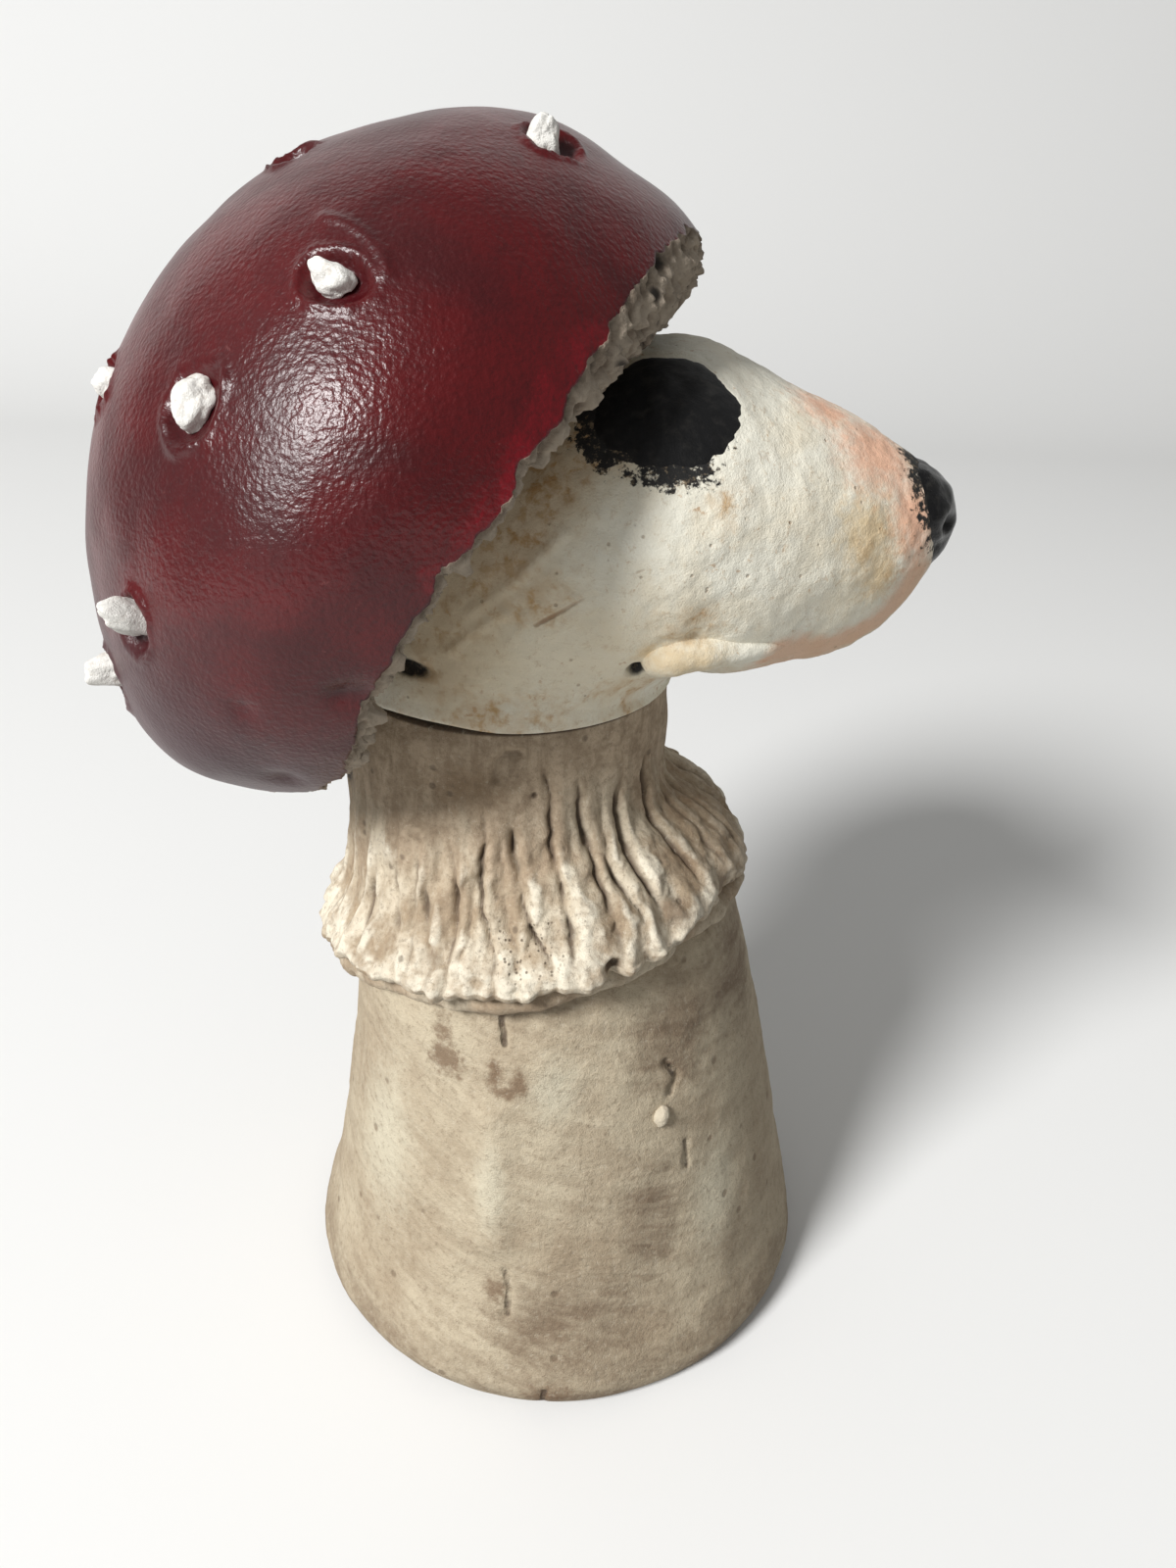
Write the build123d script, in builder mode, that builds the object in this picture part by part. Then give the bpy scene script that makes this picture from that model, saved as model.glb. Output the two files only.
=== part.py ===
from build123d import *
import math
import os

# A hand-built ceramic mushroom figure. A hollow stalk with a pleated skirt carries a loose animal head,
# which wears a red mushroom cap studded with white clay warts.
# The foot's centre is the origin, the head looks along +X, and +Z is up. Lengths are in millimetres.

os.makedirs("parts", exist_ok=True)

# Stalk: stations from the foot up, each a circle set back from the foot's centre.
foot_radius = 48.0
foot_tuck = 1.8
foot_roll = 6.0
foot_to_waist = 60.0
waist_radius = 37.7
waist_setback = 1.9
waist_to_shoulder = 25.0
shoulder_radius = 33.5
shoulder_setback = 4.5
shoulder_to_neck = 27.0
neck_length = 15.0
neck_radius = 27.0
neck_setback = 10.6
stalk_thickness = 6.0

# Base: a slab let into the foot.
base_thickness = 7.0
base_gap = 0.1

# Skirt: a clay slab wrapped round the stalk, given by its thickness in front and behind at each station.
skirt_neck_thickness = 4.0
collar_thickness = 4.5
flare_drop = 24.0
flare_front = 10.6
flare_back = 3.4
frill_drop = 34.0
frill_front = 8.6
frill_back = 3.0
tail_drop = 58.0
tail_front = 8.0
tail_back = 7.2
hem_front_drop = 36.0
hem_back_drop = 52.0

# Hem coil: a clay roll pressed up under the hem. Pellet: a crumb of white clay fired on below it.
hem_coil_radius = 2.6
hem_coil_press = 0.6
pellet_radius = 2.3
pellet_height = 56.5
pellet_bearing = -59.0

# Locating ring: a loose ring, half in the neck's mouth and half in the head's underside.
ring_bore_radius = 18.0
ring_clearance = 0.3
ring_wall = 4.5
ring_depth = 12.0
ring_rise = 12.0
ledge_width = 2.5

# Head: stations of (distance ahead of the neck's axis, lowest and highest point above the seam, half width).
head_wall = 6.0
neck_socket_rise = 20.0
nape = (-24.0, 4.0, 20.0, 17.0)
occiput = (-14.0, 2.0, 34.0, 28.0)
crown = (0.0, 1.0, 46.5, 33.0)
temple = (15.0, 2.0, 53.0, 32.0)
brow = (28.0, 3.5, 53.5, 28.0)
stop = (40.0, 5.0, 48.5, 22.5)
muzzle = (51.0, 6.0, 43.5, 17.5)
snout = (60.0, 8.0, 38.0, 12.5)
lip_front = (65.0, 12.0, 34.0, 8.5)
chin_tip = (67.0, 15.0, 31.0, 5.0)

# Nose, eyes and lips: each a lump of clay pressed on the head and trimmed to its surface.
nose_radius = 8.8
nose_reach = 70.8
nose_rise = 26.0
eye_ball_radius = 13.0
eye_ahead = 22.6
eye_aside = 14.6
eye_rise = 38.7
lip_radius = 3.2
lip_back = (21.5, 20.3, 8.5)
lip_fore = (33.5, 20.5, 13.5)

# Cap: a bowl about a tilted axis, its opening cut to a saddle, bedded on the head with a clay packing.
cap_radius = 54.5
cap_depth = 43.5
cap_shoulder_radius = 36.0
cap_wall = 6.0
cap_tilt = 53.0
cap_setback = 17.4
cap_rise = 31.0
rim_drop = 17.5
rim_saddle_radius = 150.0
rim_trim = 12.0
neck_clearance = 1.6
bed_inset = 7.0
bed_depth = 11.0
bed_rise = 4.0

# Warts: clay plugs let into blind sockets in the cap. Each place is the slope of the plug's axis from the
# cap's axis and its turn around the cap's axis, in degrees, from the brow side.
wart_radius = 3.0
wart_height = 3.2
wart_round = 1.9
socket_depth = 3.2
socket_gap = 0.05
wart_places = [
    (74.0, -13.5),
    (31.0, -27.0),
    (56.0, -58.0),
    (50.0, -83.0),
    (25.0, -107.0),
    (61.0, -120.0),
    (60.0, -146.0),
    (50.0, 32.0),
    (68.0, 62.0),
    (41.0, 84.0),
    (65.0, 108.0),
    (30.0, 150.0),
    (63.0, 152.0),
]

# Heights and radii that follow from the driving dimensions.
waist_height = foot_to_waist
shoulder_height = waist_height + waist_to_shoulder
collar_height = shoulder_height + shoulder_to_neck
seam_height = collar_height + neck_length
core_radius = neck_radius - skirt_neck_thickness
base_radius = foot_radius - foot_tuck - stalk_thickness
ring_radius = ring_bore_radius - ring_clearance
ring_seat_height = seam_height - ring_depth
ledge_radius = ring_bore_radius - ledge_width

stalk_stations = [
    (0.0, 0.0, foot_radius - foot_tuck),
    (foot_roll, 0.0, foot_radius),
    (waist_height, waist_setback, waist_radius),
    (shoulder_height, shoulder_setback, shoulder_radius),
    (collar_height, neck_setback, core_radius),
    (seam_height, neck_setback, core_radius),
]
cavity_stations = [
    (0.0, 0.0, base_radius),
    (base_thickness, 0.0, base_radius),
    (waist_height, waist_setback, waist_radius - stalk_thickness),
    (shoulder_height, shoulder_setback, shoulder_radius - stalk_thickness),
    (collar_height, neck_setback, ledge_radius),
    (seam_height, neck_setback, ledge_radius),
]


def stalk_at(height):
    """The stalk's setback and outer radius at a height, on the straight line between its stations."""
    for lower, upper in zip(stalk_stations, stalk_stations[1:]):
        if height <= upper[0]:
            break
    share = (height - lower[0]) / (upper[0] - lower[0])
    setback = lower[1] + share * (upper[1] - lower[1])
    radius = lower[2] + share * (upper[2] - lower[2])
    return setback, radius


def skirt_station(drop, front, back):
    """A skirt circle that stands proud of the stalk by its front and back thickness, below the seam."""
    height = seam_height - drop
    setback, radius = stalk_at(height)
    return height, setback - (front - back) / 2, radius + (front + back) / 2


def level_circles(stations):
    """One circle for each (height, setback, radius), from the lowest up."""
    circles = []
    for height, setback, radius in stations:
        with BuildSketch(Plane.XY.offset(height)) as level:
            with Locations((-setback, 0)):
                Circle(radius)
        circles.append(level.sketch)
    return circles


def head_ovals(stations, inset):
    """One upright oval for each head station, drawn in by the inset all round."""
    ovals = []
    for ahead, low, high, half_width in stations:
        middle = (ahead - neck_setback, 0, seam_height + (low + high) / 2)
        with BuildSketch(Plane(origin=middle, x_dir=(0, 1, 0), z_dir=(1, 0, 0))) as upright:
            Ellipse(half_width - inset, (high - low) / 2 - inset)
        ovals.append(upright.sketch)
    return ovals


def head_point(ahead, aside, rise):
    """A point of the head, from the neck's axis at the seam."""
    return Vector(ahead - neck_setback, aside, seam_height + rise)


# The stalk's outer form, also the tool that trims what is pressed on the stalk.
with BuildPart() as stalk_form:
    loft(sections=level_circles(stalk_stations), ruled=True)

# Stalk wall: hollow from the foot to the neck's mouth, with a ledge that the locating ring stands on.
with BuildPart() as stalk_wall:
    add(stalk_form.part)
    loft(sections=level_circles(cavity_stations), ruled=True, mode=Mode.SUBTRACT)
    with BuildSketch(Plane.XY.offset(ring_seat_height)):
        with Locations((-neck_setback, 0)):
            Circle(ring_bore_radius)
    extrude(amount=ring_depth, mode=Mode.SUBTRACT)
stalk_wall.part.label = "stalk_wall"
export_step(stalk_wall.part, "parts/stalk_wall.step")

# Base disc: closes the foot.
with BuildPart() as base_disc:
    with BuildSketch():
        Circle(base_radius - base_gap)
    extrude(amount=base_thickness)
base_disc.part.label = "base_disc"
export_step(base_disc.part, "parts/base_disc.step")

# The hem's plane slopes down to the back, through the skirt's front and back edges.
skirt_stations = [
    skirt_station(tail_drop, tail_front, tail_back),
    skirt_station(frill_drop, frill_front, frill_back),
    skirt_station(flare_drop, flare_front, flare_back),
    skirt_station(neck_length, collar_thickness, collar_thickness),
    skirt_station(0.0, skirt_neck_thickness, skirt_neck_thickness),
]
front_setback, front_radius = stalk_at(seam_height - hem_front_drop)
back_setback, back_radius = stalk_at(seam_height - hem_back_drop)
hem_front = Vector(front_radius - front_setback, 0, seam_height - hem_front_drop)
hem_back = Vector(-back_radius - back_setback, 0, seam_height - hem_back_drop)
hem_slope = (hem_front - hem_back).normalized()
hem_plane = Plane(origin=(hem_front + hem_back) / 2, x_dir=hem_slope, z_dir=hem_slope.cross(Vector(0, 1, 0)))

# Skirt: the pleated slab from the seam down to the hem, shaped round the stalk.
with BuildPart() as skirt:
    loft(sections=level_circles(skirt_stations), ruled=True)
    split(bisect_by=hem_plane, keep=Keep.TOP)
    add(stalk_form.part, mode=Mode.SUBTRACT)
skirt.part.label = "skirt"
export_step(skirt.part, "parts/skirt.step")

# Hem coil: a ring of rolled clay, flattened against the hem and trimmed to the stalk.
hem_coil_reach = (hem_front - hem_back).length / 2 + hem_coil_radius / 2
with BuildPart() as hem_coil:
    with Locations(hem_plane.offset(hem_coil_press - hem_coil_radius)):
        Torus(hem_coil_reach, hem_coil_radius)
    split(bisect_by=hem_plane, keep=Keep.BOTTOM)
    add(stalk_form.part, mode=Mode.SUBTRACT)
hem_coil.part.label = "hem_coil"
export_step(hem_coil.part, "parts/hem_coil.step")

# Clay pellet: a crumb of white clay stuck on the stalk's surface.
pellet_setback, pellet_seat = stalk_at(pellet_height)
pellet_x = pellet_seat * math.cos(math.radians(pellet_bearing)) - pellet_setback
pellet_y = pellet_seat * math.sin(math.radians(pellet_bearing))
pellet_outward = Vector(pellet_x + pellet_setback, pellet_y, 0)
pellet_plane = Plane(origin=(pellet_x, pellet_y, pellet_height), z_dir=pellet_outward)
with BuildPart() as clay_pellet:
    with Locations(pellet_plane):
        Sphere(pellet_radius)
    add(stalk_form.part, mode=Mode.SUBTRACT)
clay_pellet.part.label = "clay_pellet"
export_step(clay_pellet.part, "parts/clay_pellet.step")

# Locating ring: stands on the ledge in the neck's mouth and reaches up into the head.
with BuildPart() as locating_ring:
    with BuildSketch(Plane.XY.offset(ring_seat_height)):
        with Locations((-neck_setback, 0)):
            Circle(ring_radius)
            Circle(ring_radius - ring_wall, mode=Mode.SUBTRACT)
    extrude(amount=ring_depth + ring_rise)
locating_ring.part.label = "locating_ring"
export_step(locating_ring.part, "parts/locating_ring.step")

# The head's outer form: skull and muzzle in one loft, on a short round neck.
head_stations = [nape, occiput, crown, temple, brow, stop, muzzle, snout, lip_front, chin_tip]
cavity_head_stations = [occiput, crown, temple, brow, stop, muzzle]
with BuildPart() as head_form:
    loft(sections=head_ovals(head_stations, 0.0))
    with BuildSketch(Plane.XY.offset(seam_height)):
        with Locations((-neck_setback, 0)):
            Circle(neck_radius)
    extrude(amount=neck_socket_rise)

# Head shell: hollow, open below through the bore that the locating ring enters.
with BuildPart() as head_shell:
    add(head_form.part)
    loft(sections=head_ovals(cavity_head_stations, head_wall), mode=Mode.SUBTRACT)
    with BuildSketch(Plane.XY.offset(seam_height)):
        with Locations((-neck_setback, 0)):
            Circle(ring_bore_radius)
    extrude(amount=neck_socket_rise, mode=Mode.SUBTRACT)
head_shell.part.label = "head_shell"
export_step(head_shell.part, "parts/head_shell.step")

# Nose: a black lump on the end of the muzzle.
nose_middle = head_point(nose_reach - nose_radius, 0, nose_rise)
with BuildPart() as nose:
    with Locations(nose_middle):
        Sphere(nose_radius)
    add(head_form.part, mode=Mode.SUBTRACT)
nose.part.label = "nose"
export_step(nose.part, "parts/nose.step")

# Eyes and lips: one of each on either side of the head, the right side towards -Y.
lip_path = Vector(*lip_fore) - Vector(*lip_back)
for side, sign in (("left", 1), ("right", -1)):
    eye_middle = head_point(eye_ahead, sign * eye_aside, eye_rise)
    with BuildPart() as eye:
        with Locations(eye_middle):
            Sphere(eye_ball_radius)
        add(head_form.part, mode=Mode.SUBTRACT)
    eye.part.label = f"{side}_eye"
    export_step(eye.part, f"parts/{side}_eye.step")

    lip_start = head_point(lip_back[0], sign * lip_back[1], lip_back[2])
    lip_line = Vector(lip_path.X, sign * lip_path.Y, lip_path.Z)
    with BuildPart() as lip:
        with BuildSketch(Plane(origin=lip_start, z_dir=lip_line)):
            Circle(lip_radius)
        extrude(amount=lip_line.length)
        fillet(lip.edges().filter_by(GeomType.CIRCLE), lip_radius * 0.9)
        add(head_form.part, mode=Mode.SUBTRACT)
    lip.part.label = f"{side}_lip"
    export_step(lip.part, f"parts/{side}_lip.step")

# The cap's own frame: its axis leans back, and its cross direction runs up towards the brow.
tilt = math.radians(cap_tilt)
cap_centre = head_point(-cap_setback, 0, cap_rise)
cap_axis = Vector(-math.sin(tilt), 0, math.cos(tilt))
cap_cross = Vector(math.cos(tilt), 0, math.sin(tilt))
cap_plane = Plane(origin=cap_centre, x_dir=cap_cross, z_dir=cap_axis)
profile_plane = Plane(origin=cap_centre, x_dir=cap_cross, z_dir=(0, -1, 0))
saddle_plane = Plane(origin=cap_centre, x_dir=(0, 1, 0), z_dir=cap_cross)

# The bowl's profile is an apex arc centred on the axis and a shoulder arc tangent to it.
shoulder_inset = cap_radius - cap_shoulder_radius
apex_rise = cap_depth - cap_shoulder_radius
apex_radius = (shoulder_inset**2 + cap_depth**2 - cap_shoulder_radius**2) / (2 * apex_rise)
blend_slope = math.degrees(math.asin(shoulder_inset / (apex_radius - cap_shoulder_radius)))
mouth_slope = math.degrees(math.asin((rim_drop + rim_trim) / cap_shoulder_radius))


def bowl_profile(inset):
    """Half the bowl's section, drawn in by the inset, from the apex past the rim to the axis."""
    with BuildSketch(profile_plane) as half:
        with BuildLine():
            apex_arc = CenterArc((0, cap_depth - apex_radius), apex_radius - inset, 90, -blend_slope)
            start = 90 - blend_slope
            sweep = -start - mouth_slope
            shoulder_arc = CenterArc((shoulder_inset, 0), cap_shoulder_radius - inset, start, sweep)
            mouth = shoulder_arc @ 1
            Polyline(mouth, (0, mouth.Y), apex_arc @ 0)
        make_face()
    return half.sketch


def wart_seat(slope, turn):
    """The plane that touches the bowl's outside where its normal has that slope and turn."""
    lean = math.radians(slope)
    around = math.radians(turn)
    if slope < blend_slope:
        reach = apex_radius * math.sin(lean)
        climb = cap_depth - apex_radius + apex_radius * math.cos(lean)
    else:
        reach = shoulder_inset + cap_shoulder_radius * math.sin(lean)
        climb = cap_shoulder_radius * math.cos(lean)
    place = Vector(reach * math.cos(around), reach * math.sin(around), climb)
    normal = Vector(math.sin(lean) * math.cos(around), math.sin(lean) * math.sin(around), math.cos(lean))
    start = cap_plane.from_local_coords(place)
    end = cap_plane.from_local_coords(place + normal)
    return Plane(origin=start, z_dir=end - start)


wart_seats = [wart_seat(slope, turn) for slope, turn in wart_places]

# Room that the head and its eyes take up inside the cap.
with BuildPart() as head_room:
    add(head_form.part)
    with Locations(head_point(eye_ahead, eye_aside, eye_rise), head_point(eye_ahead, -eye_aside, eye_rise)):
        Sphere(eye_ball_radius)

# Room that the neck keeps as the head turns and lifts.
with BuildPart() as neck_room:
    with BuildSketch():
        with Locations((-neck_setback, 0)):
            Circle(neck_radius + neck_clearance)
    extrude(amount=seam_height)

# Cap shell: the red bowl, with its saddle-cut rim and a blind socket for each wart.
with BuildPart() as cap_shell:
    revolve(bowl_profile(0.0), axis=Axis(cap_centre, cap_axis))
    revolve(bowl_profile(cap_wall), axis=Axis(cap_centre, cap_axis), mode=Mode.SUBTRACT)
    with BuildSketch(saddle_plane.offset(-cap_radius)):
        with Locations((0, rim_saddle_radius - rim_drop)):
            Circle(rim_saddle_radius)
    extrude(amount=2 * cap_radius, mode=Mode.INTERSECT)
    for seat in wart_seats:
        with BuildSketch(seat.offset(-socket_depth)):
            Circle(wart_radius)
        extrude(amount=2 * socket_depth, mode=Mode.SUBTRACT)
    add(head_room.part, mode=Mode.SUBTRACT)
    add(neck_room.part, mode=Mode.SUBTRACT)
cap_shell.part.label = "cap_shell"
export_step(cap_shell.part, "parts/cap_shell.step")

# Cap bed: rough clay packed between the head and the inside of the cap, above the seam.
with BuildPart() as cap_bed:
    revolve(bowl_profile(cap_wall), axis=Axis(cap_centre, cap_axis))
    split(bisect_by=cap_plane.offset(bed_inset - rim_drop), keep=Keep.TOP)
    split(bisect_by=cap_plane.offset(bed_inset + bed_depth - rim_drop), keep=Keep.BOTTOM)
    split(bisect_by=Plane.XY.offset(seam_height + bed_rise), keep=Keep.TOP)
    add(head_room.part, mode=Mode.SUBTRACT)
cap_bed.part.label = "cap_bed"
export_step(cap_bed.part, "parts/cap_bed.step")

# Warts: round-topped plugs, each in its own socket.
for number, seat in enumerate(wart_seats, start=1):
    with BuildPart() as wart:
        with BuildSketch(seat.offset(-socket_depth)):
            Circle(wart_radius - socket_gap)
        extrude(amount=socket_depth + wart_height)
        fillet(wart.faces().sort_by(Axis((0, 0, 0), seat.z_dir))[-1].edges(), wart_round)
    wart.part.label = f"cap_wart_{number:02d}"
    export_step(wart.part, f"parts/cap_wart_{number:02d}.step")
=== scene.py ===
import bpy
import numpy as np
from mathutils import Matrix


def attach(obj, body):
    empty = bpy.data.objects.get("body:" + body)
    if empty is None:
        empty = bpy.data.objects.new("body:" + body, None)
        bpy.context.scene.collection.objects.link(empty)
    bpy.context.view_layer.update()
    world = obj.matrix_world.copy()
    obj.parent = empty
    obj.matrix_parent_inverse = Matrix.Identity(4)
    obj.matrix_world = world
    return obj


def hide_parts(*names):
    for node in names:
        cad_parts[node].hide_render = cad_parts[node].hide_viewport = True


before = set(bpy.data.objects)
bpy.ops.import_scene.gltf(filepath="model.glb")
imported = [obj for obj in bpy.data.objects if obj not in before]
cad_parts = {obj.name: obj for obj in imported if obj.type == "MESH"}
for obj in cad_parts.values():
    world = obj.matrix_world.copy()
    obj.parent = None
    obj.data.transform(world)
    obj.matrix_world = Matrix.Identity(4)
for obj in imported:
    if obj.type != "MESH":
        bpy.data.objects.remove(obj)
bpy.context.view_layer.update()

# Stalk: the figure's hollow body, a slab of buff clay rolled into a tapering tube and smoothed by hand.
# Its foot is rolled under, a smoky oxide wash is rubbed over it, and the bored neck takes the locating ring.


def along(x, stations, values):
    """Smooth curve through the stations: cubic Hermite pieces with centred differences as end slopes."""
    stations, values = np.asarray(stations, float), np.asarray(values, float)
    slope = np.gradient(values, stations)
    i = np.clip(np.searchsorted(stations, x) - 1, 0, len(stations) - 2)
    span = stations[i + 1] - stations[i]
    t = np.clip((x - stations[i]) / span, 0, 1)
    start = (1 + 2 * t) * (1 - t) ** 2 * values[i] + t * (1 - t) ** 2 * span * slope[i]
    return start + t**2 * (3 - 2 * t) * values[i + 1] + t**2 * (t - 1) * span * slope[i + 1]


def ease(x, low, high):
    """0 below low, 1 above high, and three times the square less twice the cube of the share between."""
    t = np.clip((x - low) / (high - low), 0, 1)
    return t * t * (3 - 2 * t)


def unit(arrows):
    """The same directions with length 1."""
    return arrows / np.linalg.norm(arrows, axis=-1, keepdims=True)


lattice_slopes = 4096


def lattice_key(corner):
    """A number below the count of slopes for each whole-number corner of a lattice."""
    return np.bitwise_xor.reduce(corner * np.array([73856093, 19349663, 83492791]), axis=-1) % lattice_slopes


def lumps(points, size, seed, octaves=3):
    """Random height from about -1 to 1: each corner of a lattice of that size has a random slope, the eight
    slopes round a point are blended by a quintic curve, and each octave is half as large and half as high."""
    slopes = unit(np.random.default_rng(seed).normal(size=(lattice_slopes, 3)))
    total = np.zeros(points.shape[:-1])
    for octave in range(octaves):
        place = points * (2.0**octave / size) + 31.7 * octave
        corner = np.floor(place).astype(np.int64)
        inside = place - corner
        fade = inside**3 * (inside * (inside * 6 - 15) + 10)
        for step in np.ndindex(2, 2, 2):
            weight = np.prod(np.where(step, fade, 1 - fade), axis=-1)
            rise = np.einsum("...k,...k", slopes[lattice_key(corner + step)], inside - step)
            total += weight * rise * 0.5**octave
    return 1.5 * total


def line_gap(points, path):
    """Distance from each point to a path of straight runs, the least of its distances to the runs."""
    path = np.asarray(path, float)
    gaps = []
    for start, end in zip(path, path[1:]):
        run = end - start
        share = np.clip((points - start) @ run / (run @ run), 0, 1)
        gaps.append(np.linalg.norm(points - start - share[..., None] * run, axis=-1))
    return np.min(gaps, axis=0)


def point_gap(points, centre, reach=1.0):
    """Distance from each point to a centre, in shares of the reach along each axis."""
    return np.linalg.norm((points - np.asarray(centre)) / reach, axis=-1)


def hump(gap, width=1.0, power=2):
    """1 where the gap is 0, falling away as e to the minus power of the gap over the width."""
    return np.exp(-np.abs(gap / width) ** power)


def round_way(reach, turn, height=0.0):
    """Points at a reach and a turn round an upright axis, and at a height."""
    return np.stack(np.broadcast_arrays(reach * np.cos(turn), reach * np.sin(turn), height), axis=-1)


def clay_piece(name, rows, finish, body, node, loop=False, **marks):
    """A piece from a grid of points in millimetres, by row and column. Each row closes on itself,
    neighbouring rows are joined by four-sided faces, and either the last row is joined to the first in a
    loop or a pole closes each end row at its middle. Faces turn outwards by the sign of the enclosed
    volume. Marks are values on the points."""
    count, width = rows.shape[:2]
    points = rows.reshape(-1, 3)
    values = {key: np.broadcast_to(mark, rows.shape[:2]).reshape(-1) for key, mark in marks.items()}
    index = np.arange(count * width).reshape(count, width)
    lower = index if loop else index[:-1]
    upper = np.roll(index, -1, axis=0) if loop else index[1:]
    quads = np.stack([lower, np.roll(lower, -1, 1), np.roll(upper, -1, 1), upper], axis=-1).reshape(-1, 4)
    fans = np.empty((0, 3), int)
    for row, turn in () if loop else ((index[0], -1), (index[-1], 1)):
        pole = np.full(width, len(points))
        points = np.vstack([points, points[row].mean(axis=0)])
        values = {key: np.append(mark, mark[row].mean()) for key, mark in values.items()}
        fans = np.vstack([fans, np.stack([row, np.roll(row, -1)][::turn] + [pole], axis=-1)])
    thirds = np.vstack([quads[:, [0, 1, 2]], quads[:, [0, 2, 3]], fans])
    a, b, c = points[thirds[:, 0]], points[thirds[:, 1]], points[thirds[:, 2]]
    if np.einsum("ij,ij", a, np.cross(b, c)) < 0:
        quads, fans = quads[:, ::-1], fans[:, ::-1]
    mesh = bpy.data.meshes.new(name)
    mesh.from_pydata((points * 0.001).tolist(), [], quads.tolist() + fans.tolist())
    mesh.polygons.foreach_set("use_smooth", np.ones(len(mesh.polygons), bool))
    for key, mark in values.items():
        mesh.attributes.new(key, "FLOAT", "POINT").data.foreach_set("value", mark.astype(np.float32))
    mesh.materials.append(finish.material)
    mesh.update()
    piece = bpy.data.objects.new(name, mesh)
    bpy.context.scene.collection.objects.link(piece)
    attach(piece, body)
    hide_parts(node)


def shade(tree, kind, links=None, **settings):
    """Adds a shader node, with settings on the node and values or other nodes' outputs on its inputs."""
    node = tree.nodes.new("ShaderNode" + kind)
    for name, value in settings.items():
        setattr(node, name, value)
    for name, value in (links or {}).items():
        if isinstance(value, bpy.types.NodeSocket):
            tree.links.new(value, node.inputs[name])
        else:
            node.inputs[name].default_value = value
    return node


def calc(tree, operation, first, second=0.0, clamp=False):
    """One Math node's output."""
    return shade(tree, "Math", {0: first, 1: second}, operation=operation, use_clamp=clamp).outputs[0]


def vector(tree, operation, first, second=(0.0, 0.0, 0.0), scale=1.0):
    """One Vector Math node's output: a number for a length, a distance or a dot product, or else a vector."""
    links = {0: first, "Scale": scale} if operation == "SCALE" else {0: first, 1: second}
    output = "Value" if operation in ("LENGTH", "DISTANCE", "DOT_PRODUCT") else "Vector"
    return shade(tree, "VectorMath", links, operation=operation).outputs[output]


def between(tree, value, low, high, to_low=0.0, to_high=1.0):
    """The value's smooth share between low and high, carried to the other range."""
    links = {"Value": value, "From Min": low, "From Max": high, "To Min": to_low, "To Max": to_high}
    return shade(tree, "MapRange", links, interpolation_type="SMOOTHSTEP").outputs[0]


def tint(tree, share, *colours):
    """The second colour over the first by that share. A colour is three numbers or another node's output."""
    under, over = (c if isinstance(c, bpy.types.NodeSocket) else (*c, 1.0) for c in colours)
    return shade(tree, "Mix", {0: share, 6: under, 7: over}, data_type="RGBA").outputs[2]


def effect(name, inputs, output):
    """Starts a node group with one value out; gives the group, its inputs and its output socket."""
    group = bpy.data.node_groups.new(name, "ShaderNodeTree")
    for label, kind in inputs.items():
        group.interface.new_socket(label, in_out="INPUT", socket_type="NodeSocket" + kind)
    group.interface.new_socket(output, in_out="OUTPUT", socket_type="NodeSocketFloat")
    source = group.nodes.new("NodeGroupInput")
    sink = group.nodes.new("NodeGroupOutput")
    return group, source.outputs, sink.inputs[0]


# Fired grain: the height of the clay's fine tooth, a coarse and a fine noise of a size in millimetres.
grain_inputs = {"Place": "Vector", "Size": "Float"}
fired_grain, asked, given = effect("fired_grain", grain_inputs, "Height")
grain_scale = calc(fired_grain, "DIVIDE", 1.0, asked["Size"])
grain_links = {"Vector": asked["Place"], "Scale": grain_scale, "Detail": 5.0, "Roughness": 0.65}
coarse_grain = shade(fired_grain, "TexNoise", grain_links).outputs[0]
fine_scale = calc(fired_grain, "MULTIPLY", grain_scale, 4.7)
fine_grain = shade(fired_grain, "TexNoise", {**grain_links, "Scale": fine_scale, "Detail": 2.0}).outputs[0]
weighed_grain = calc(fired_grain, "MULTIPLY", fine_grain, 0.45)
fired_grain.links.new(calc(fired_grain, "ADD", coarse_grain, weighed_grain), given)

# Rubbed wash: where an oxide wash stays on, a blotchy noise of the given size cut off at the given share.
wash_inputs = {"Place": "Vector", "Size": "Float", "Share": "Float", "Soft": "Float"}
rubbed_wash, asked, given = effect("rubbed_wash", wash_inputs, "Mask")
wash_scale = calc(rubbed_wash, "DIVIDE", 1.0, asked["Size"])
wash_links = {"Vector": asked["Place"], "Scale": wash_scale, "Detail": 7.0}
wash_links |= {"Roughness": 0.6, "Distortion": 0.3}
wash_noise = shade(rubbed_wash, "TexNoise", wash_links).outputs[0]
wash_middle = calc(rubbed_wash, "SUBTRACT", 0.74, calc(rubbed_wash, "MULTIPLY", asked["Share"], 0.48))
wash_low = calc(rubbed_wash, "SUBTRACT", wash_middle, asked["Soft"])
wash_high = calc(rubbed_wash, "ADD", wash_middle, asked["Soft"])
rubbed_wash.links.new(between(rubbed_wash, wash_noise, wash_low, wash_high), given)

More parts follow.
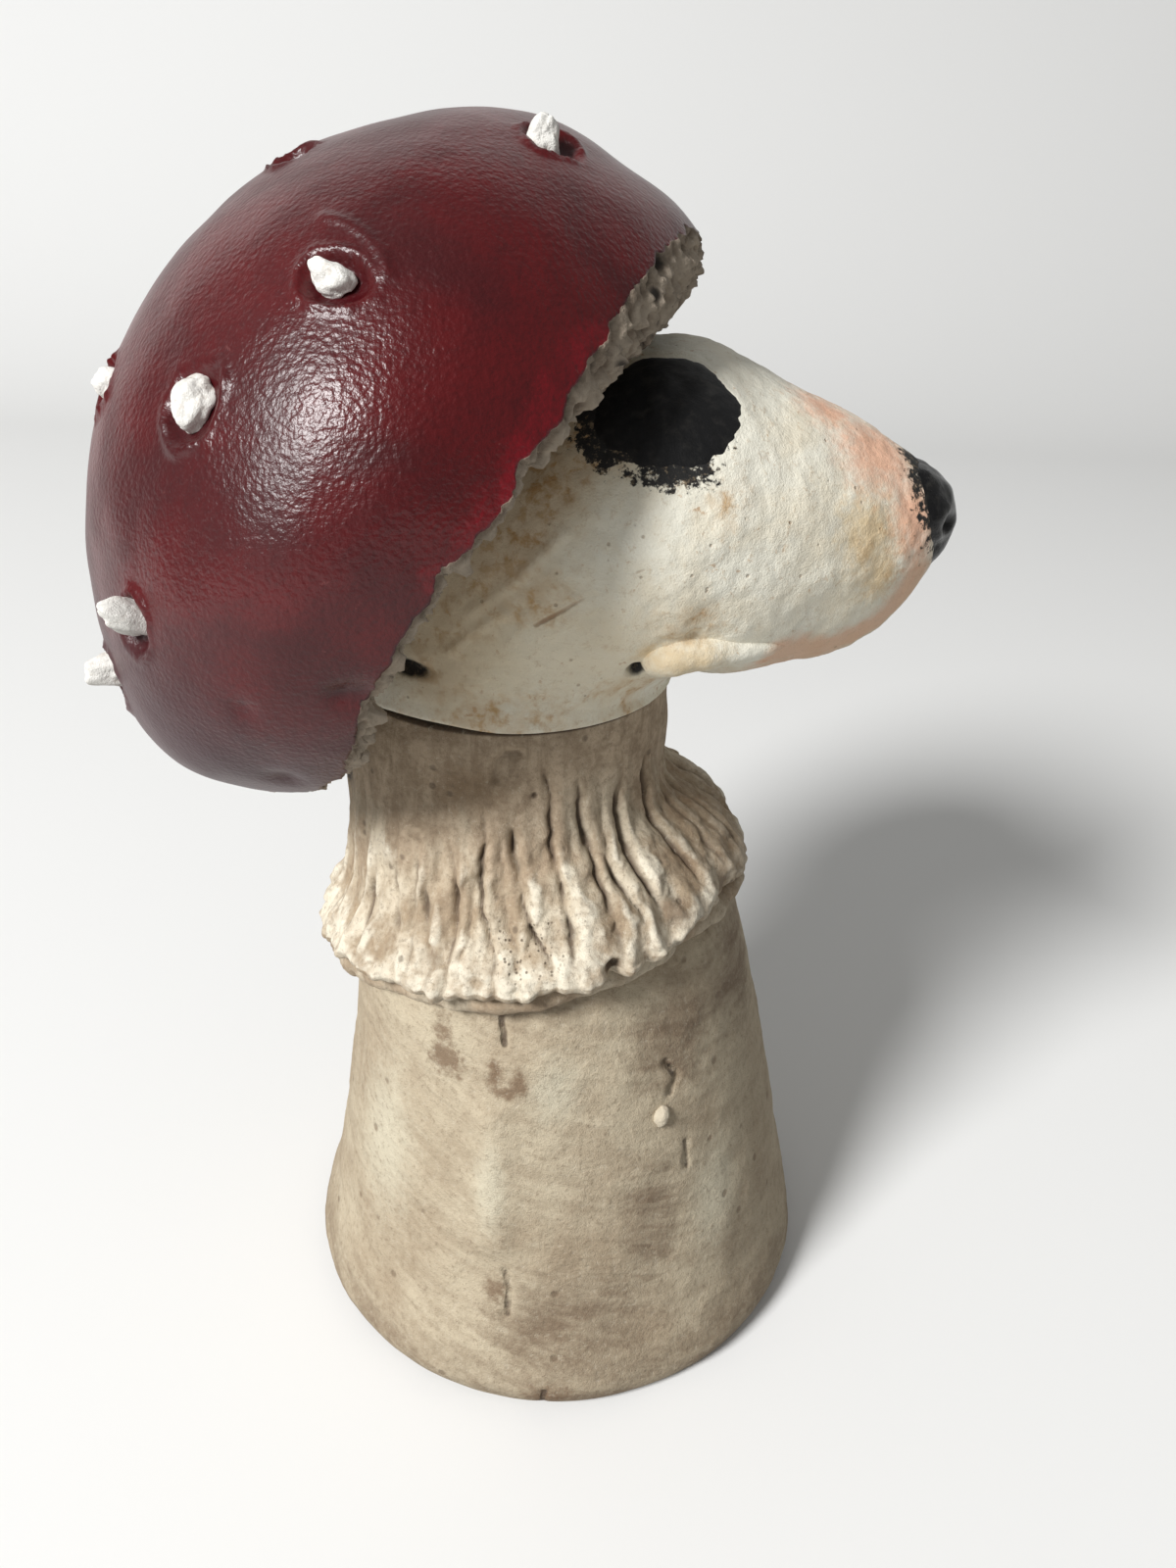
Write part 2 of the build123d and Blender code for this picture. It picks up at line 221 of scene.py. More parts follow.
# Soft spot: 1 at a centre, falling to 0 at its reach along each axis, with a ragged noisy edge.
spot_inputs = {"Place": "Vector", "Centre": "Vector", "Reach": "Vector", "Ragged": "Float", "Soft": "Float"}
soft_spot, asked, given = effect("soft_spot", spot_inputs, "Mask")
spot_offset = vector(soft_spot, "SUBTRACT", asked["Place"], asked["Centre"])
spot_gap = vector(soft_spot, "LENGTH", vector(soft_spot, "DIVIDE", spot_offset, asked["Reach"]))
spot_links = {"Vector": asked["Place"], "Scale": 0.6, "Detail": 6.0, "Roughness": 0.68}
spot_noise = shade(soft_spot, "TexNoise", spot_links).outputs[0]
spot_rag = calc(soft_spot, "MULTIPLY", calc(soft_spot, "SUBTRACT", spot_noise, 0.5), asked["Ragged"])
spot_edge = calc(soft_spot, "ADD", spot_gap, spot_rag)
spot_low = calc(soft_spot, "SUBTRACT", 1.0, asked["Soft"])
soft_spot.links.new(between(soft_spot, spot_edge, spot_low, 1.0, 1.0, 0.0), given)

# Hair crack: 1 on a wandering line between two points, falling to 0 at the given width.
crack_inputs = {"Place": "Vector", "Start": "Vector", "End": "Vector", "Width": "Float", "Wander": "Float"}
hair_crack, asked, given = effect("hair_crack", crack_inputs, "Mask")
crack_links = {"Vector": asked["Place"], "Scale": 0.35, "Detail": 4.0}
crack_noise = shade(hair_crack, "TexNoise", crack_links).outputs["Color"]
crack_sway = vector(hair_crack, "SUBTRACT", crack_noise, (0.5, 0.5, 0.5))
crack_sway = vector(hair_crack, "SCALE", crack_sway, scale=asked["Wander"])
crack_place = vector(hair_crack, "ADD", asked["Place"], crack_sway)
crack_run = vector(hair_crack, "SUBTRACT", asked["End"], asked["Start"])
crack_offset = vector(hair_crack, "SUBTRACT", crack_place, asked["Start"])
crack_reach = vector(hair_crack, "DOT_PRODUCT", crack_offset, crack_run)
crack_square = vector(hair_crack, "DOT_PRODUCT", crack_run, crack_run)
crack_share = calc(hair_crack, "DIVIDE", crack_reach, crack_square, clamp=True)
crack_near = vector(hair_crack, "SCALE", crack_run, scale=crack_share)
crack_gap = vector(hair_crack, "DISTANCE", crack_offset, crack_near)
crack_inner = calc(hair_crack, "MULTIPLY", asked["Width"], 0.35)
hair_crack.links.new(between(hair_crack, crack_gap, crack_inner, asked["Width"], 1.0, 0.0), given)

# Pin holes: small round holes where gas left the clay, in the given share of cells of the given spacing.
hole_inputs = {"Place": "Vector", "Spacing": "Float", "Share": "Float"}
pin_holes, asked, given = effect("pin_holes", hole_inputs, "Mask")
hole_scale = calc(pin_holes, "DIVIDE", 1.0, asked["Spacing"])
hole_cells = shade(pin_holes, "TexVoronoi", {"Vector": asked["Place"], "Scale": hole_scale})
hole_shape = between(pin_holes, hole_cells.outputs["Distance"], 0.12, 0.3, 1.0, 0.0)
hole_draw = shade(pin_holes, "SeparateColor", {0: hole_cells.outputs["Color"]}).outputs[0]
hole_kept = calc(pin_holes, "LESS_THAN", hole_draw, asked["Share"])
pin_holes.links.new(calc(pin_holes, "MULTIPLY", hole_shape, hole_kept), given)


class Finish:
    """A material in the making: its slot, its tree, its Principled shader, its place in millimetres and the
    colour laid so far. Its methods add nodes to it, and give their output."""

    def __init__(self, slot, roughness, colour):
        self.slot = slot
        self.material = bpy.data.materials.new(slot)
        self.material.use_nodes = True
        self.tree = self.material.node_tree
        self.tree.nodes.clear()
        self.surface = shade(self.tree, "BsdfPrincipled", {"Roughness": roughness})
        shade(self.tree, "OutputMaterial", {"Surface": self.surface.outputs[0]})
        self.place = vector(self.tree, "SCALE", shade(self.tree, "TexCoord").outputs["Object"], scale=1000.0)
        self.colour = colour

    def plus(self, first, second):
        """The first and the second added."""
        return calc(self.tree, "ADD", first, second)

    def less(self, first, second):
        """The first less the second."""
        return calc(self.tree, "SUBTRACT", first, second)

    def times(self, first, second, clamp=False):
        """The first times the second."""
        return calc(self.tree, "MULTIPLY", first, second, clamp)

    def most(self, first, second):
        """The larger of the two."""
        return calc(self.tree, "MAXIMUM", first, second)

    def lifted(self, mask, least, gain):
        """A mask lifted off 0: the least share plus the gain times the mask."""
        return self.plus(least, self.times(mask, gain))

    def between(self, value, *ends):
        """The value's smooth share between two ends, carried to another two if given."""
        return between(self.tree, value, *ends)

    def axes(self):
        """The three parts of the place."""
        return shade(self.tree, "SeparateXYZ", {0: self.place}).outputs

    def mark(self, name):
        """The values that a piece's points carry under that name."""
        return shade(self.tree, "Attribute", attribute_name=name).outputs["Fac"]

    def drawn_out(self, shares, place=None):
        """The place scaled along each axis, so that a pattern is drawn out where the share is small."""
        return vector(self.tree, "MULTIPLY", self.place if place is None else place, shares)

    def put(self, group, inputs, place, *values):
        """An effect at a place, or at the finish's own, with the values of its other inputs."""
        links = dict(zip(inputs, (self.place if place is None else place, *values)))
        return shade(self.tree, "Group", links, node_tree=group).outputs[0]

    def wash(self, size, share, soft, place=None):
        """Where a rubbed wash stays on."""
        return self.put(rubbed_wash, wash_inputs, place, size, share, soft)

    def grain(self, size):
        """The height of the clay's tooth."""
        return self.put(fired_grain, grain_inputs, None, size)

    def holes(self, spacing, share):
        """Where pin holes are."""
        return self.put(pin_holes, hole_inputs, None, spacing, share)

    def masks(self, spots=(), cracks=(), place=None):
        """The largest of several spots' and cracks' masks."""
        total = None
        for group, inputs, rows in ((soft_spot, spot_inputs, spots), (hair_crack, crack_inputs, cracks)):
            for row in rows:
                mask = self.put(group, inputs, place, *row)
                total = mask if total is None else self.most(total, mask)
        return total

    def lay(self, share, colour, strength=1.0):
        """Lays a colour over the one so far by a share, weakened by the strength."""
        share = self.times(share, strength) if strength < 1.0 else share
        self.colour = tint(self.tree, share, self.colour, colour)

    def feed(self, name, value):
        """Links a value to that input of the shader."""
        self.tree.links.new(value, self.surface.inputs[name])

    def fire(self, height, strength, depth):
        """Gives the shader its colour, and a normal bumped by a height with the depth in millimetres."""
        self.feed("Base Color", self.colour)
        links = {"Strength": strength, "Distance": depth * 0.001, "Height": height}
        self.feed("Normal", shade(self.tree, "Bump", links).outputs[0])


def runs(path, width, wander):
    """A path's straight runs, each as the values of a hair crack of that width and wander."""
    return [(start, end, width, wander) for start, end in zip(path, path[1:])]


stalk_heights = [0.0, 1.2, 3.0, 5.0, 8.0, 18.0, 35.0, 60.0, 85.0, 112.0, 127.0]
stalk_radii = [46.0, 48.4, 49.5, 49.8, 49.2, 46.5, 43.1, 38.6, 34.0, 23.0, 23.0]
stalk_backs = [0.0, 0.0, 0.0, 0.0, -0.1, -0.3, -0.4, 1.1, 3.8, 10.6, 10.6]
hollow_heights = [127.0, 115.0, 115.0, 112.0, 100.0, 85.0, 60.0, 30.0, 7.0, 0.0]
hollow_radii = [18.0, 18.0, 15.5, 15.5, 20.8, 27.5, 31.7, 36.5, 40.2, 40.2]
thumb_ridge = [(-11.6, -38.4, 60.0), (-11.5, -40.1, 49.2), (-11.0, -41.9, 36.0)]
palm_hollow = (14.5, -40.3, 30.8)
ridge_rise, ridge_width = 1.6, 4.0
palm_dip, palm_width = 1.0, 13.0
crack_depth, crack_width, crack_wander = 0.75, 0.55, 0.5
dry_cracks = [
    [(-9.6, -33.9, 82.5), (-9.7, -34.9, 78.1), (-9.1, -35.4, 74.0)],
    [(17.9, -31.6, 68.0), (19.9, -31.2, 64.4), (19.0, -32.4, 61.5)],
    [(22.4, -32.7, 50.7), (23.0, -33.6, 45.7)],
    [(-8.9, -43.3, 29.2), (-8.0, -44.1, 25.1), (-8.5, -45.1, 20.1)],
    [(-1.5, -49.6, 5.5), (-1.9, -49.0, 1.5)],
    [(31.2, 22.8, 58.0), (32.6, 23.3, 50.0)],
    [(-31.8, 22.6, 64.0), (-34.2, 21.6, 54.0)],
]


def stalk_outline(height):
    """The stalk's outer radius and setback at a height, by smooth curves through its stations."""
    return along(height, stalk_heights, stalk_radii), np.interp(height, stalk_heights, stalk_backs)


def stalk_skin():
    """Rings up the outside and down the hollow, each a circle set back from the foot's centre. The outside
    swells by three sizes of lumps, a thumbed ridge, a hollow and drying cracks, faded out at sole and
    neck."""
    turn = np.linspace(0, 2 * np.pi, 440, endpoint=False)
    outer = np.concatenate([np.linspace(0, 6, 14), np.linspace(6.6, 92, 168), np.linspace(94, 127, 10)])
    heights = np.concatenate([outer, hollow_heights])
    radii, backs = stalk_outline(heights)
    radii[len(outer):] = hollow_radii
    height = heights[:, None]
    rings = round_way(radii[:, None], turn, height)
    rings[..., 0] -= backs[:, None]
    swell = 0.7 * lumps(rings, 46, 3, 2) + 0.3 * lumps(rings, 12, 4) + 0.1 * lumps(rings, 3.2, 5)
    swell += ridge_rise * hump(line_gap(rings, thumb_ridge), ridge_width)
    swell -= palm_dip * hump(point_gap(rings, palm_hollow), palm_width)
    wandering = rings + crack_wander * lumps(rings, 3, 6)[..., None]
    for crack in dry_cracks:
        swell -= crack_depth * hump(line_gap(wandering, crack), crack_width)
    swell *= ease(height, -1.0, 6.0) * ease(height, 120, 100)
    swell[len(outer):] = 0
    return rings + swell[..., None] * round_way(1.0, turn)


stalk_clay = Finish("stalk_clay", 0.84, (0.54, 0.458, 0.328))
wash = stalk_clay.wash(22.0, 0.42, 0.16)
stalk_clay.lay(wash, (0.365, 0.279, 0.186), 0.8)
lean_links = {"Vector": stalk_clay.place, "Axis": (0.35, 1.0, 0.0), "Angle": -0.32}
leaning = shade(stalk_clay.tree, "VectorRotate", lean_links).outputs[0]
strokes = stalk_clay.wash(3.2, 0.46, 0.14, stalk_clay.drawn_out((0.24, 0.24, 1.0), leaning))
stalk_clay.lay(strokes, (0.30, 0.226, 0.148), 0.44)
streak = stalk_clay.wash(5.5, 0.4, 0.14, stalk_clay.drawn_out((0.9, 0.9, 0.2)))
stalk_clay.lay(streak, (0.585, 0.51, 0.37), 0.3)
smoke_and_shade_spots = [
    ((17.0, -38.5, 36.0), (8.0, 12.0, 21.0), 1.2, 0.8),
    ((3.0, -45.0, 17.0), (21.0, 12.0, 19.0), 1.1, 0.8),
    ((19.0, -29.0, 72.0), (13.0, 14.0, 13.0), 1.1, 0.8),
    ((31.0, -14.0, 76.0), (14.0, 18.0, 18.0), 1.0, 0.8),
    ((-12.0, -34.0, 84.0), (24.0, 10.0, 8.0), 0.9, 0.8),
    ((0.0, 40.0, 24.0), (26.0, 12.0, 20.0), 1.1, 0.8),
    ((-34.0, 14.0, 60.0), (12.0, 22.0, 22.0), 1.1, 0.8),
    # The last spot darkens the whole foot towards the floor: partly the smoky wash and partly painted shade
    # where the foot rolls under.
    ((0.0, 0.0, -4.0), (200.0, 200.0, 21.0), 0.8, 0.8),
]
smoke_and_shade = stalk_clay.times(stalk_clay.masks(smoke_and_shade_spots), stalk_clay.lifted(strokes, 0.5, 0.48))
stalk_clay.lay(smoke_and_shade, (0.205, 0.145, 0.092))
pale_and_highlight_spots = [
    # The first spot is a painted highlight along the thumbed ridge; the other spots are paler patches of
    # clay.
    ((-11.5, -40.2, 46.5), (3.8, 8.0, 13.5), 1.0, 0.8),
    ((-1.0, -36.5, 66.0), (6.5, 8.0, 10.0), 1.0, 0.9),
    ((29.0, -32.0, 37.0), (7.0, 12.0, 18.0), 1.0, 0.9),
    ((-31.0, -26.0, 44.0), (10.0, 14.0, 26.0), 1.0, 0.9),
    ((34.0, 20.0, 40.0), (12.0, 16.0, 24.0), 1.0, 0.9),
]
stalk_clay.lay(stalk_clay.masks(pale_and_highlight_spots), (0.61, 0.555, 0.42), 0.8)
stain_spots = [
    ((-19.3, -33.2, 69.0), (4.4, 6.0, 4.6), 2.2, 0.7),
    ((-19.8, -32.6, 74.0), (2.4, 6.0, 5.4), 2.2, 1.0),
    ((-10.9, -37.0, 68.4), (2.4, 6.0, 5.0), 2.2, 0.9),
    ((-6.9, -37.3, 67.6), (2.3, 6.0, 4.0), 2.2, 0.8),
    ((-8.8, -37.6, 65.4), (3.4, 6.0, 2.0), 2.0, 0.8),
    ((-1.0, -49.0, 4.0), (7.0, 6.0, 4.0), 1.4, 0.9),
    ((-10.6, -43.6, 25.0), (3.2, 6.0, 4.0), 1.5, 0.9),
    ((37.0, 8.0, 66.0), (6.0, 4.0, 5.0), 1.5, 0.9),
]
stain = stalk_clay.times(stalk_clay.masks(stain_spots), stalk_clay.lifted(wash, 0.8, 0.2))
stalk_clay.lay(stain, (0.17, 0.102, 0.055))
crack_mask = stalk_clay.masks(cracks=[run for crack in dry_cracks for run in runs(crack, 0.74, 0.8)])
stalk_clay.lay(crack_mask, (0.075, 0.048, 0.03), 0.85)
grain = stalk_clay.grain(1.1)
stalk_clay.lay(stalk_clay.between(grain, 0.72, 1.0), (0.215, 0.155, 0.1), 0.6)
stalk_clay.lay(stalk_clay.between(grain, 0.68, 0.45), (0.64, 0.57, 0.45), 0.4)
specks = stalk_clay.holes(3.4, 0.08)
stalk_clay.lay(specks, (0.17, 0.115, 0.07), 0.6)
relief = stalk_clay.less(grain, stalk_clay.plus(crack_mask, stalk_clay.times(specks, 0.6)))
relief = stalk_clay.less(relief, stalk_clay.times(strokes, 0.35))
stalk_clay.fire(relief, 0.72, 0.5)
clay_piece("stalk_body", stalk_skin(), stalk_clay, "stalk", "stalk_wall", loop=True)

# Foot disc: a slab of the same clay let into the foot, which closes the stalk from below.
# It is bare, rough and a little hollow, so the figure stands on the foot's rim.


def foot_disc_skin():
    """Rings from the middle of the underside, out round the edge and back over the top, with the underside
    hollowed by a fifth of a millimetre and roughened by lumps."""
    turn = np.linspace(0, 2 * np.pi, 160, endpoint=False)
    radii = np.concatenate([np.linspace(2, 39.4, 24), [40.0, 40.0], np.linspace(39.4, 2, 24)])[:, None]
    lift = np.concatenate([np.linspace(0.45, 0.25, 24), [0.7, 6.4], np.full(24, 7.0)])[:, None]
    rings = round_way(radii, turn, lift)
    rings[..., 2] += 0.18 * lumps(rings, 7, 11) * np.where(lift < 1, 1, -1)
    return rings


inner_clay = Finish("inner_clay", 0.9, (0.58, 0.51, 0.42))
inner_clay.lay(inner_clay.wash(9.0, 0.5, 0.12), (0.36, 0.31, 0.26))
inner_clay.fire(inner_clay.grain(1.4), 0.7, 0.6)
clay_piece("foot_disc", foot_disc_skin(), inner_clay, "stalk", "base_disc")

# Skirt: a thin slab of clay wrapped round the neck, pinched into pleats that fan out to a torn hem.
# The wash is left in the folds and on the neck, and wiped off the hem down to the cream clay; the folds and a
# strip at the seam also carry painted shade.
neck_setback = 10.6
neck_radius = 27.0
seam_height = 127.0
hem_turns = [0, 33, 50, 65, 82, 105, 135, 161, 180]
hem_heights = [93.0, 94.0, 93.8, 91.8, 88.8, 86.8, 83.0, 79.2, 78.5]
hem_reaches = [42.4, 41.2, 42.0, 42.4, 40.6, 38.6, 35.4, 33.0, 33.4]
front_fall = [0.0, 0.3, 0.452, 0.6, 0.675, 0.79, 0.9, 1.0]
front_share = [0.0, 0.0, 0.01, 0.12, 0.36, 0.73, 0.94, 1.0]
side_fall = [0.0, 0.3, 0.47, 0.64, 0.79, 0.91, 1.0]
side_share = [0.0, 0.015, 0.12, 0.35, 0.62, 0.87, 1.0]
back_fall = [0.0, 0.294, 0.47, 0.655, 0.82, 0.94, 1.0]
back_share = [0.0, 0.0, 0.02, 0.06, 0.36, 0.8, 1.0]
hem_thickness, hem_droop = 4.8, 0.46
least_cover = 1.2
seam_inset = 0.7
pleat_lip_offset, pleat_lip_width = 1.6, 1.2
pleat_dip_offset, pleat_dip_width = 1.5, 1.7
arch_depth, arch_width = 0.9, 0.8
knob_rise, knob_width = 0.8, 4.0
# Each pleat's crease runs down through these heights at these turns, with its depth and width in millimetres.
near_creases = [
    ((114, 105, 99, 93), (-94.3, -94.5, -94.5, -90.2), 1.8, 1.0),
    ((112, 102, 98, 94), (-85.4, -82.8, -80.9, -76.9), 2.0, 1.1),
    ((122, 113, 105, 97), (-75.1, -72.9, -74.1, -72.0), 1.3, 0.9),
    ((118, 108, 103, 98, 93), (-62.9, -62.3, -62.0, -60.6, -62.8), 1.9, 1.1),
    ((113, 106, 101, 97), (-54.4, -57.5, -56.7, -54.3), 1.7, 1.1),
    ((115, 107, 104, 97), (-45.1, -49.6, -50.2, -47.2), 1.9, 1.2),
    ((119, 112, 107, 102, 97), (-29.4, -29.3, -33.1, -34.3, -32.7), 1.3, 1.1),
    ((112, 105, 100, 94), (-17.5, -21.0, -22.5, -21.5), 0.9, 1.3),
    ((113, 107, 101, 95), (-4.5, -8.0, -10.0, -11.0), 0.8, 1.3),
    ((108, 96, 90), (-104.9, -100.9, -101.6), 1.7, 1.0),
    ((102, 95, 90), (-111.8, -109.6, -106.4), 1.5, 1.3),
    ((103, 95, 89), (-125.1, -122.8, -118.0), 1.1, 1.6),
    ((101, 95, 90), (-97.4, -97.2, -98.5), 0.9, 0.8),
    ((100, 92, 85), (-136.0, -134.0, -133.0), 1.1, 1.4),
    ((105, 98, 89), (-117.0, -116.0, -113.0), 1.2, 1.2),
    ((109, 101, 94), (-88.5, -88.0, -85.0), 1.2, 1.0),
]
finger_scoops = [
    ((18.2, -29.0, 97.0), 3.6, 1.5),
    ((26.6, -17.3, 94.6), 3.4, 1.3),
    ((-20.4, -34.6, 90.6), 2.2, 1.1),
    ((32.0, 8.0, 97.0), 3.4, 1.2),
    ((8.0, 36.0, 94.0), 3.6, 1.2),
]
small_holes = [
    ((15.0, -13.7, 112.3), 0.8, 1.6),
    ((7.9, -37.9, 92.3), 1.6, 2.2),
    ((-5.0, -26.8, 116.0), 0.6, 0.6),
]
thumb_arch = [(-11.2, -26.9, 119.0), (-10.9, -26.9, 122.0), (-9.3, -27.0, 123.3), (-7.6, -26.9, 123.4)]
hem_knob = (-42.5, -8.5, 80.5)


def about_neck(reach, turn, height):
    """Points at a reach and a turn round the neck's axis, and at a height."""
    return round_way(reach, turn, height) + (-neck_setback, 0.0, 0.0)


def stalk_reach(turn, height):
    """How far the stalk's surface stands from the neck's axis, at a turn round that axis and a height."""
    radius, back = stalk_outline(height)
    ahead = neck_setback - back
    return ahead * np.cos(turn) + np.sqrt(np.maximum(radius**2 - (ahead * np.sin(turn)) ** 2, 0))


def skirt_skin():
    """For each turn round the neck's axis, a section from the seam down the outside, round the hem and back
    up against the stalk. The outside's reach is a blend of a front, a side and a back curve by the turn's
    cosine. Each crease is a broken groove along its line, with a rounded lip beside it, growing towards the
    hem, where the edge is rolled over into a lumpy bead."""
    turn = np.linspace(-np.pi, np.pi, 620, endpoint=False)
    fall = np.concatenate([np.linspace(0, 0.3, 26), np.linspace(0.31, 1, 110)])[:, None]
    angle = np.abs(np.degrees(turn))
    around = round_way(30.0, turn)
    hem_height = along(angle, hem_turns, hem_heights) + 1.5 * lumps(around, 15, 22)
    hem_height += 0.9 * lumps(around, 5, 25)
    hem_reach = along(angle, hem_turns, hem_reaches) + 0.7 * lumps(around, 12, 26)
    front, side = along(fall, front_fall, front_share), along(fall, side_fall, side_share)
    back = along(fall, back_fall, back_share)
    cosine = np.cos(turn)
    share = side + (front - back) / 2 * cosine + ((front + back) / 2 - side) * cosine**2
    height = seam_height - fall * (seam_height - hem_height)
    reach = neck_radius + (hem_reach - neck_radius) * share
    reach = reach + 0.35 * (1 - cosine) * ease(fall, 0.0, 0.1) * ease(fall, 0.9, 0.6)
    skin = about_neck(reach, turn, height)
    draw = np.random.default_rng(21)
    creases = list(near_creases)
    for middle in np.arange(6, 222, 10.5):
        middle += draw.uniform(-3, 3)
        bottom = along(abs((middle + 180) % 360 - 180), hem_turns, hem_heights)
        top = bottom + draw.uniform(12, 30)
        sway = middle + draw.uniform(-3, 3, 3)
        depth = draw.uniform(0.9, 1.9) * (0.5 if middle < 42 else 1.0)
        creases.append(((top, (top + bottom) / 2, bottom), sway, depth, draw.uniform(0.9, 1.5)))
    crease = np.zeros_like(height)
    pinch = np.zeros_like(height)
    wavy = 0.9 * lumps(skin, 9, 27, 2) + 0.4 * lumps(skin, 3, 34, 2)
    broken = np.clip(0.9 + 0.9 * lumps(skin, 7, 35, 2), 0.3, 1.35)
    near_hem, rolled = ease(fall, 0.8, 0.97), ease(fall, 0.84, 0.97)
    for heights, turns, depth, width in creases:
        line = np.radians(np.interp(height, heights[::-1], turns[::-1]))
        gap = ((turn - line + np.pi) % (2 * np.pi) - np.pi) * reach + wavy
        grown = ease(height, heights[0] + 1.5, heights[0] - 5.0)
        groove = grown * broken * hump(gap, 0.52 * width, 1.4)
        pinch -= 0.95 * depth * groove * (1 - 0.75 * near_hem)
        lip = hump(gap - pleat_lip_offset, pleat_lip_width)
        dip = hump(gap + pleat_dip_offset, pleat_dip_width)
        pinch += 0.38 * depth * grown * ease(fall, 0.25, 0.6) * lip
        pinch -= 0.24 * depth * grown * dip * (1 - 0.6 * near_hem)
        crease = np.maximum(crease, np.minimum(groove, 1) * min(1.0, depth / 1.4) * (1 - 0.55 * rolled))
    for centre, size, depth in finger_scoops + small_holes:
        scoop = hump(point_gap(skin, centre), size, 3)
        pinch -= depth * scoop
        crease = np.maximum(crease, (0.55 if size > 1.7 else 1.0) * scoop)
    arch = hump(line_gap(skin, thumb_arch), arch_width)
    pinch -= arch_depth * arch
    crease = np.maximum(crease, 0.55 * arch)
    uneven = 0.45 * lumps(skin, 13, 23, 2) + 0.3 * lumps(skin, 4.5, 24, 2) * ease(fall, 0.3, 0.8)
    pinch += uneven * ease(fall, 0.03, 0.2)
    fibre = lumps(skin * (1.0, 1.0, 0.15), 2.4, 36, 2) * ease(fall, 0.25, 0.6) * ease(fall, 1.0, 0.85)
    pinch += 0.55 * fibre
    pinch += 0.6 * lumps(skin * (1.0, 1.0, 0.22), 5.5, 38, 2) * ease(fall, 0.1, 0.3) * ease(fall, 1.0, 0.8)
    pinch += (0.9 + 0.8 * lumps(skin, 6, 37, 2) + 0.6 * lumps(skin, 2.6, 28, 2)) * rolled
    pinch += knob_rise * hump(point_gap(skin, hem_knob), knob_width)
    ridge = np.clip(pinch / 1.1, 0, 1)
    reach = np.maximum(reach + pinch, stalk_reach(turn, height) + least_cover)
    reach[0] = neck_radius - seam_inset
    # Painted shade: a strip along the top of the skirt at the seam is marked as a crease, so it is darkened
    # like the folds.
    crease = np.maximum(crease, ease(height, seam_height - 0.9, seam_height - 0.3))
    thick = np.minimum(hem_thickness, reach[-1] - stalk_reach(turn, height[-1]) - 0.3)
    under = np.linspace(12, 168, 13)[:, None] * np.pi / 180
    hem_r = reach[-1] - thick / 2 + thick / 2 * np.cos(under)
    hem_z = height[-1] - hem_droop * thick * np.sin(under)
    hem_r = hem_r + 0.7 * lumps(about_neck(hem_r, turn, hem_z), 2.6, 29, 2) * np.sin(under)
    inner_fall = np.array([0.97, 0.9, 0.8, 0.6, 0.4, 0.2, 0.0])[:, None]
    inner_z = seam_height - inner_fall * (seam_height - height[-1])
    inner_r = stalk_reach(turn, inner_z) - 0.5
    rows = about_neck(np.vstack([reach, hem_r, inner_r]), turn, np.vstack([height, hem_z, inner_z]))
    hidden = np.zeros((len(rows) - len(crease), len(turn)))
    marks = {"crease": (crease, hidden), "fall": (fall + 0 * turn, hidden + 1), "ridge": (ridge, hidden)}
    return rows, {name: np.vstack(mark) for name, mark in marks.items()}


skirt_clay = Finish("skirt_clay", 0.86, (0.62, 0.535, 0.40))
crease_wash_and_shade_mark, fall_mark, ridge_mark = (skirt_clay.mark(name) for name in ("crease", "fall", "ridge"))
wash = skirt_clay.wash(9.0, 0.48, 0.12, skirt_clay.drawn_out((1.0, 1.0, 0.4)))
skirt_clay.lay(wash, (0.37, 0.28, 0.185))
fibre_wash = skirt_clay.wash(2.2, 0.42, 0.12, skirt_clay.drawn_out((1.0, 1.0, 0.16)))
skirt_clay.lay(fibre_wash, (0.27, 0.195, 0.125), 0.4)
fall_edge = skirt_clay.lifted(wash, fall_mark, -0.28)
stipple = skirt_clay.wash(3.0, 0.45, 0.12)
neck_share = skirt_clay.times(skirt_clay.most(stipple, fibre_wash), 0.75)
neck_wash = tint(skirt_clay.tree, neck_share, (0.52, 0.405, 0.285), (0.275, 0.197, 0.125))
skirt_clay.lay(skirt_clay.between(fall_edge, 0.14, 0.58, 0.92, 0.0), neck_wash)
hem_cream = skirt_clay.times(skirt_clay.between(fall_edge, 0.6, 0.95), skirt_clay.less(1.0, fibre_wash))
skirt_clay.lay(hem_cream, (0.77, 0.70, 0.565), 0.74)
worn = skirt_clay.times(skirt_clay.between(ridge_mark, 0.1, 0.6), skirt_clay.between(fall_edge, 0.3, 0.5))
worn = skirt_clay.times(worn, skirt_clay.less(1.0, skirt_clay.times(stipple, 0.6)))
skirt_clay.lay(worn, (0.82, 0.755, 0.615), 0.8)
rust = skirt_clay.times(stipple, skirt_clay.between(fall_mark, 0.55, 0.9))
skirt_clay.lay(rust, (0.36, 0.245, 0.14), 0.3)
scoop_spots = [
    ((18.4, -29.6, 97.0), (4.0, 4.0, 3.4), 1.0, 0.6),
    ((26.8, -17.8, 94.6), (3.8, 3.8, 3.2), 1.0, 0.6),
    ((0.0, -37.5, 100.0), (3.4, 4.0, 5.0), 1.5, 0.8),
    ((-16.0, -28.0, 117.0), (9.0, 6.0, 6.0), 1.2, 0.8),
    ((27.0, -6.0, 103.0), (18.0, 24.0, 17.0), 1.0, 0.7),
    ((6.0, 26.0, 108.0), (22.0, 12.0, 12.0), 1.0, 0.8),
]
skirt_clay.lay(skirt_clay.masks(scoop_spots), (0.27, 0.175, 0.095), 0.6)
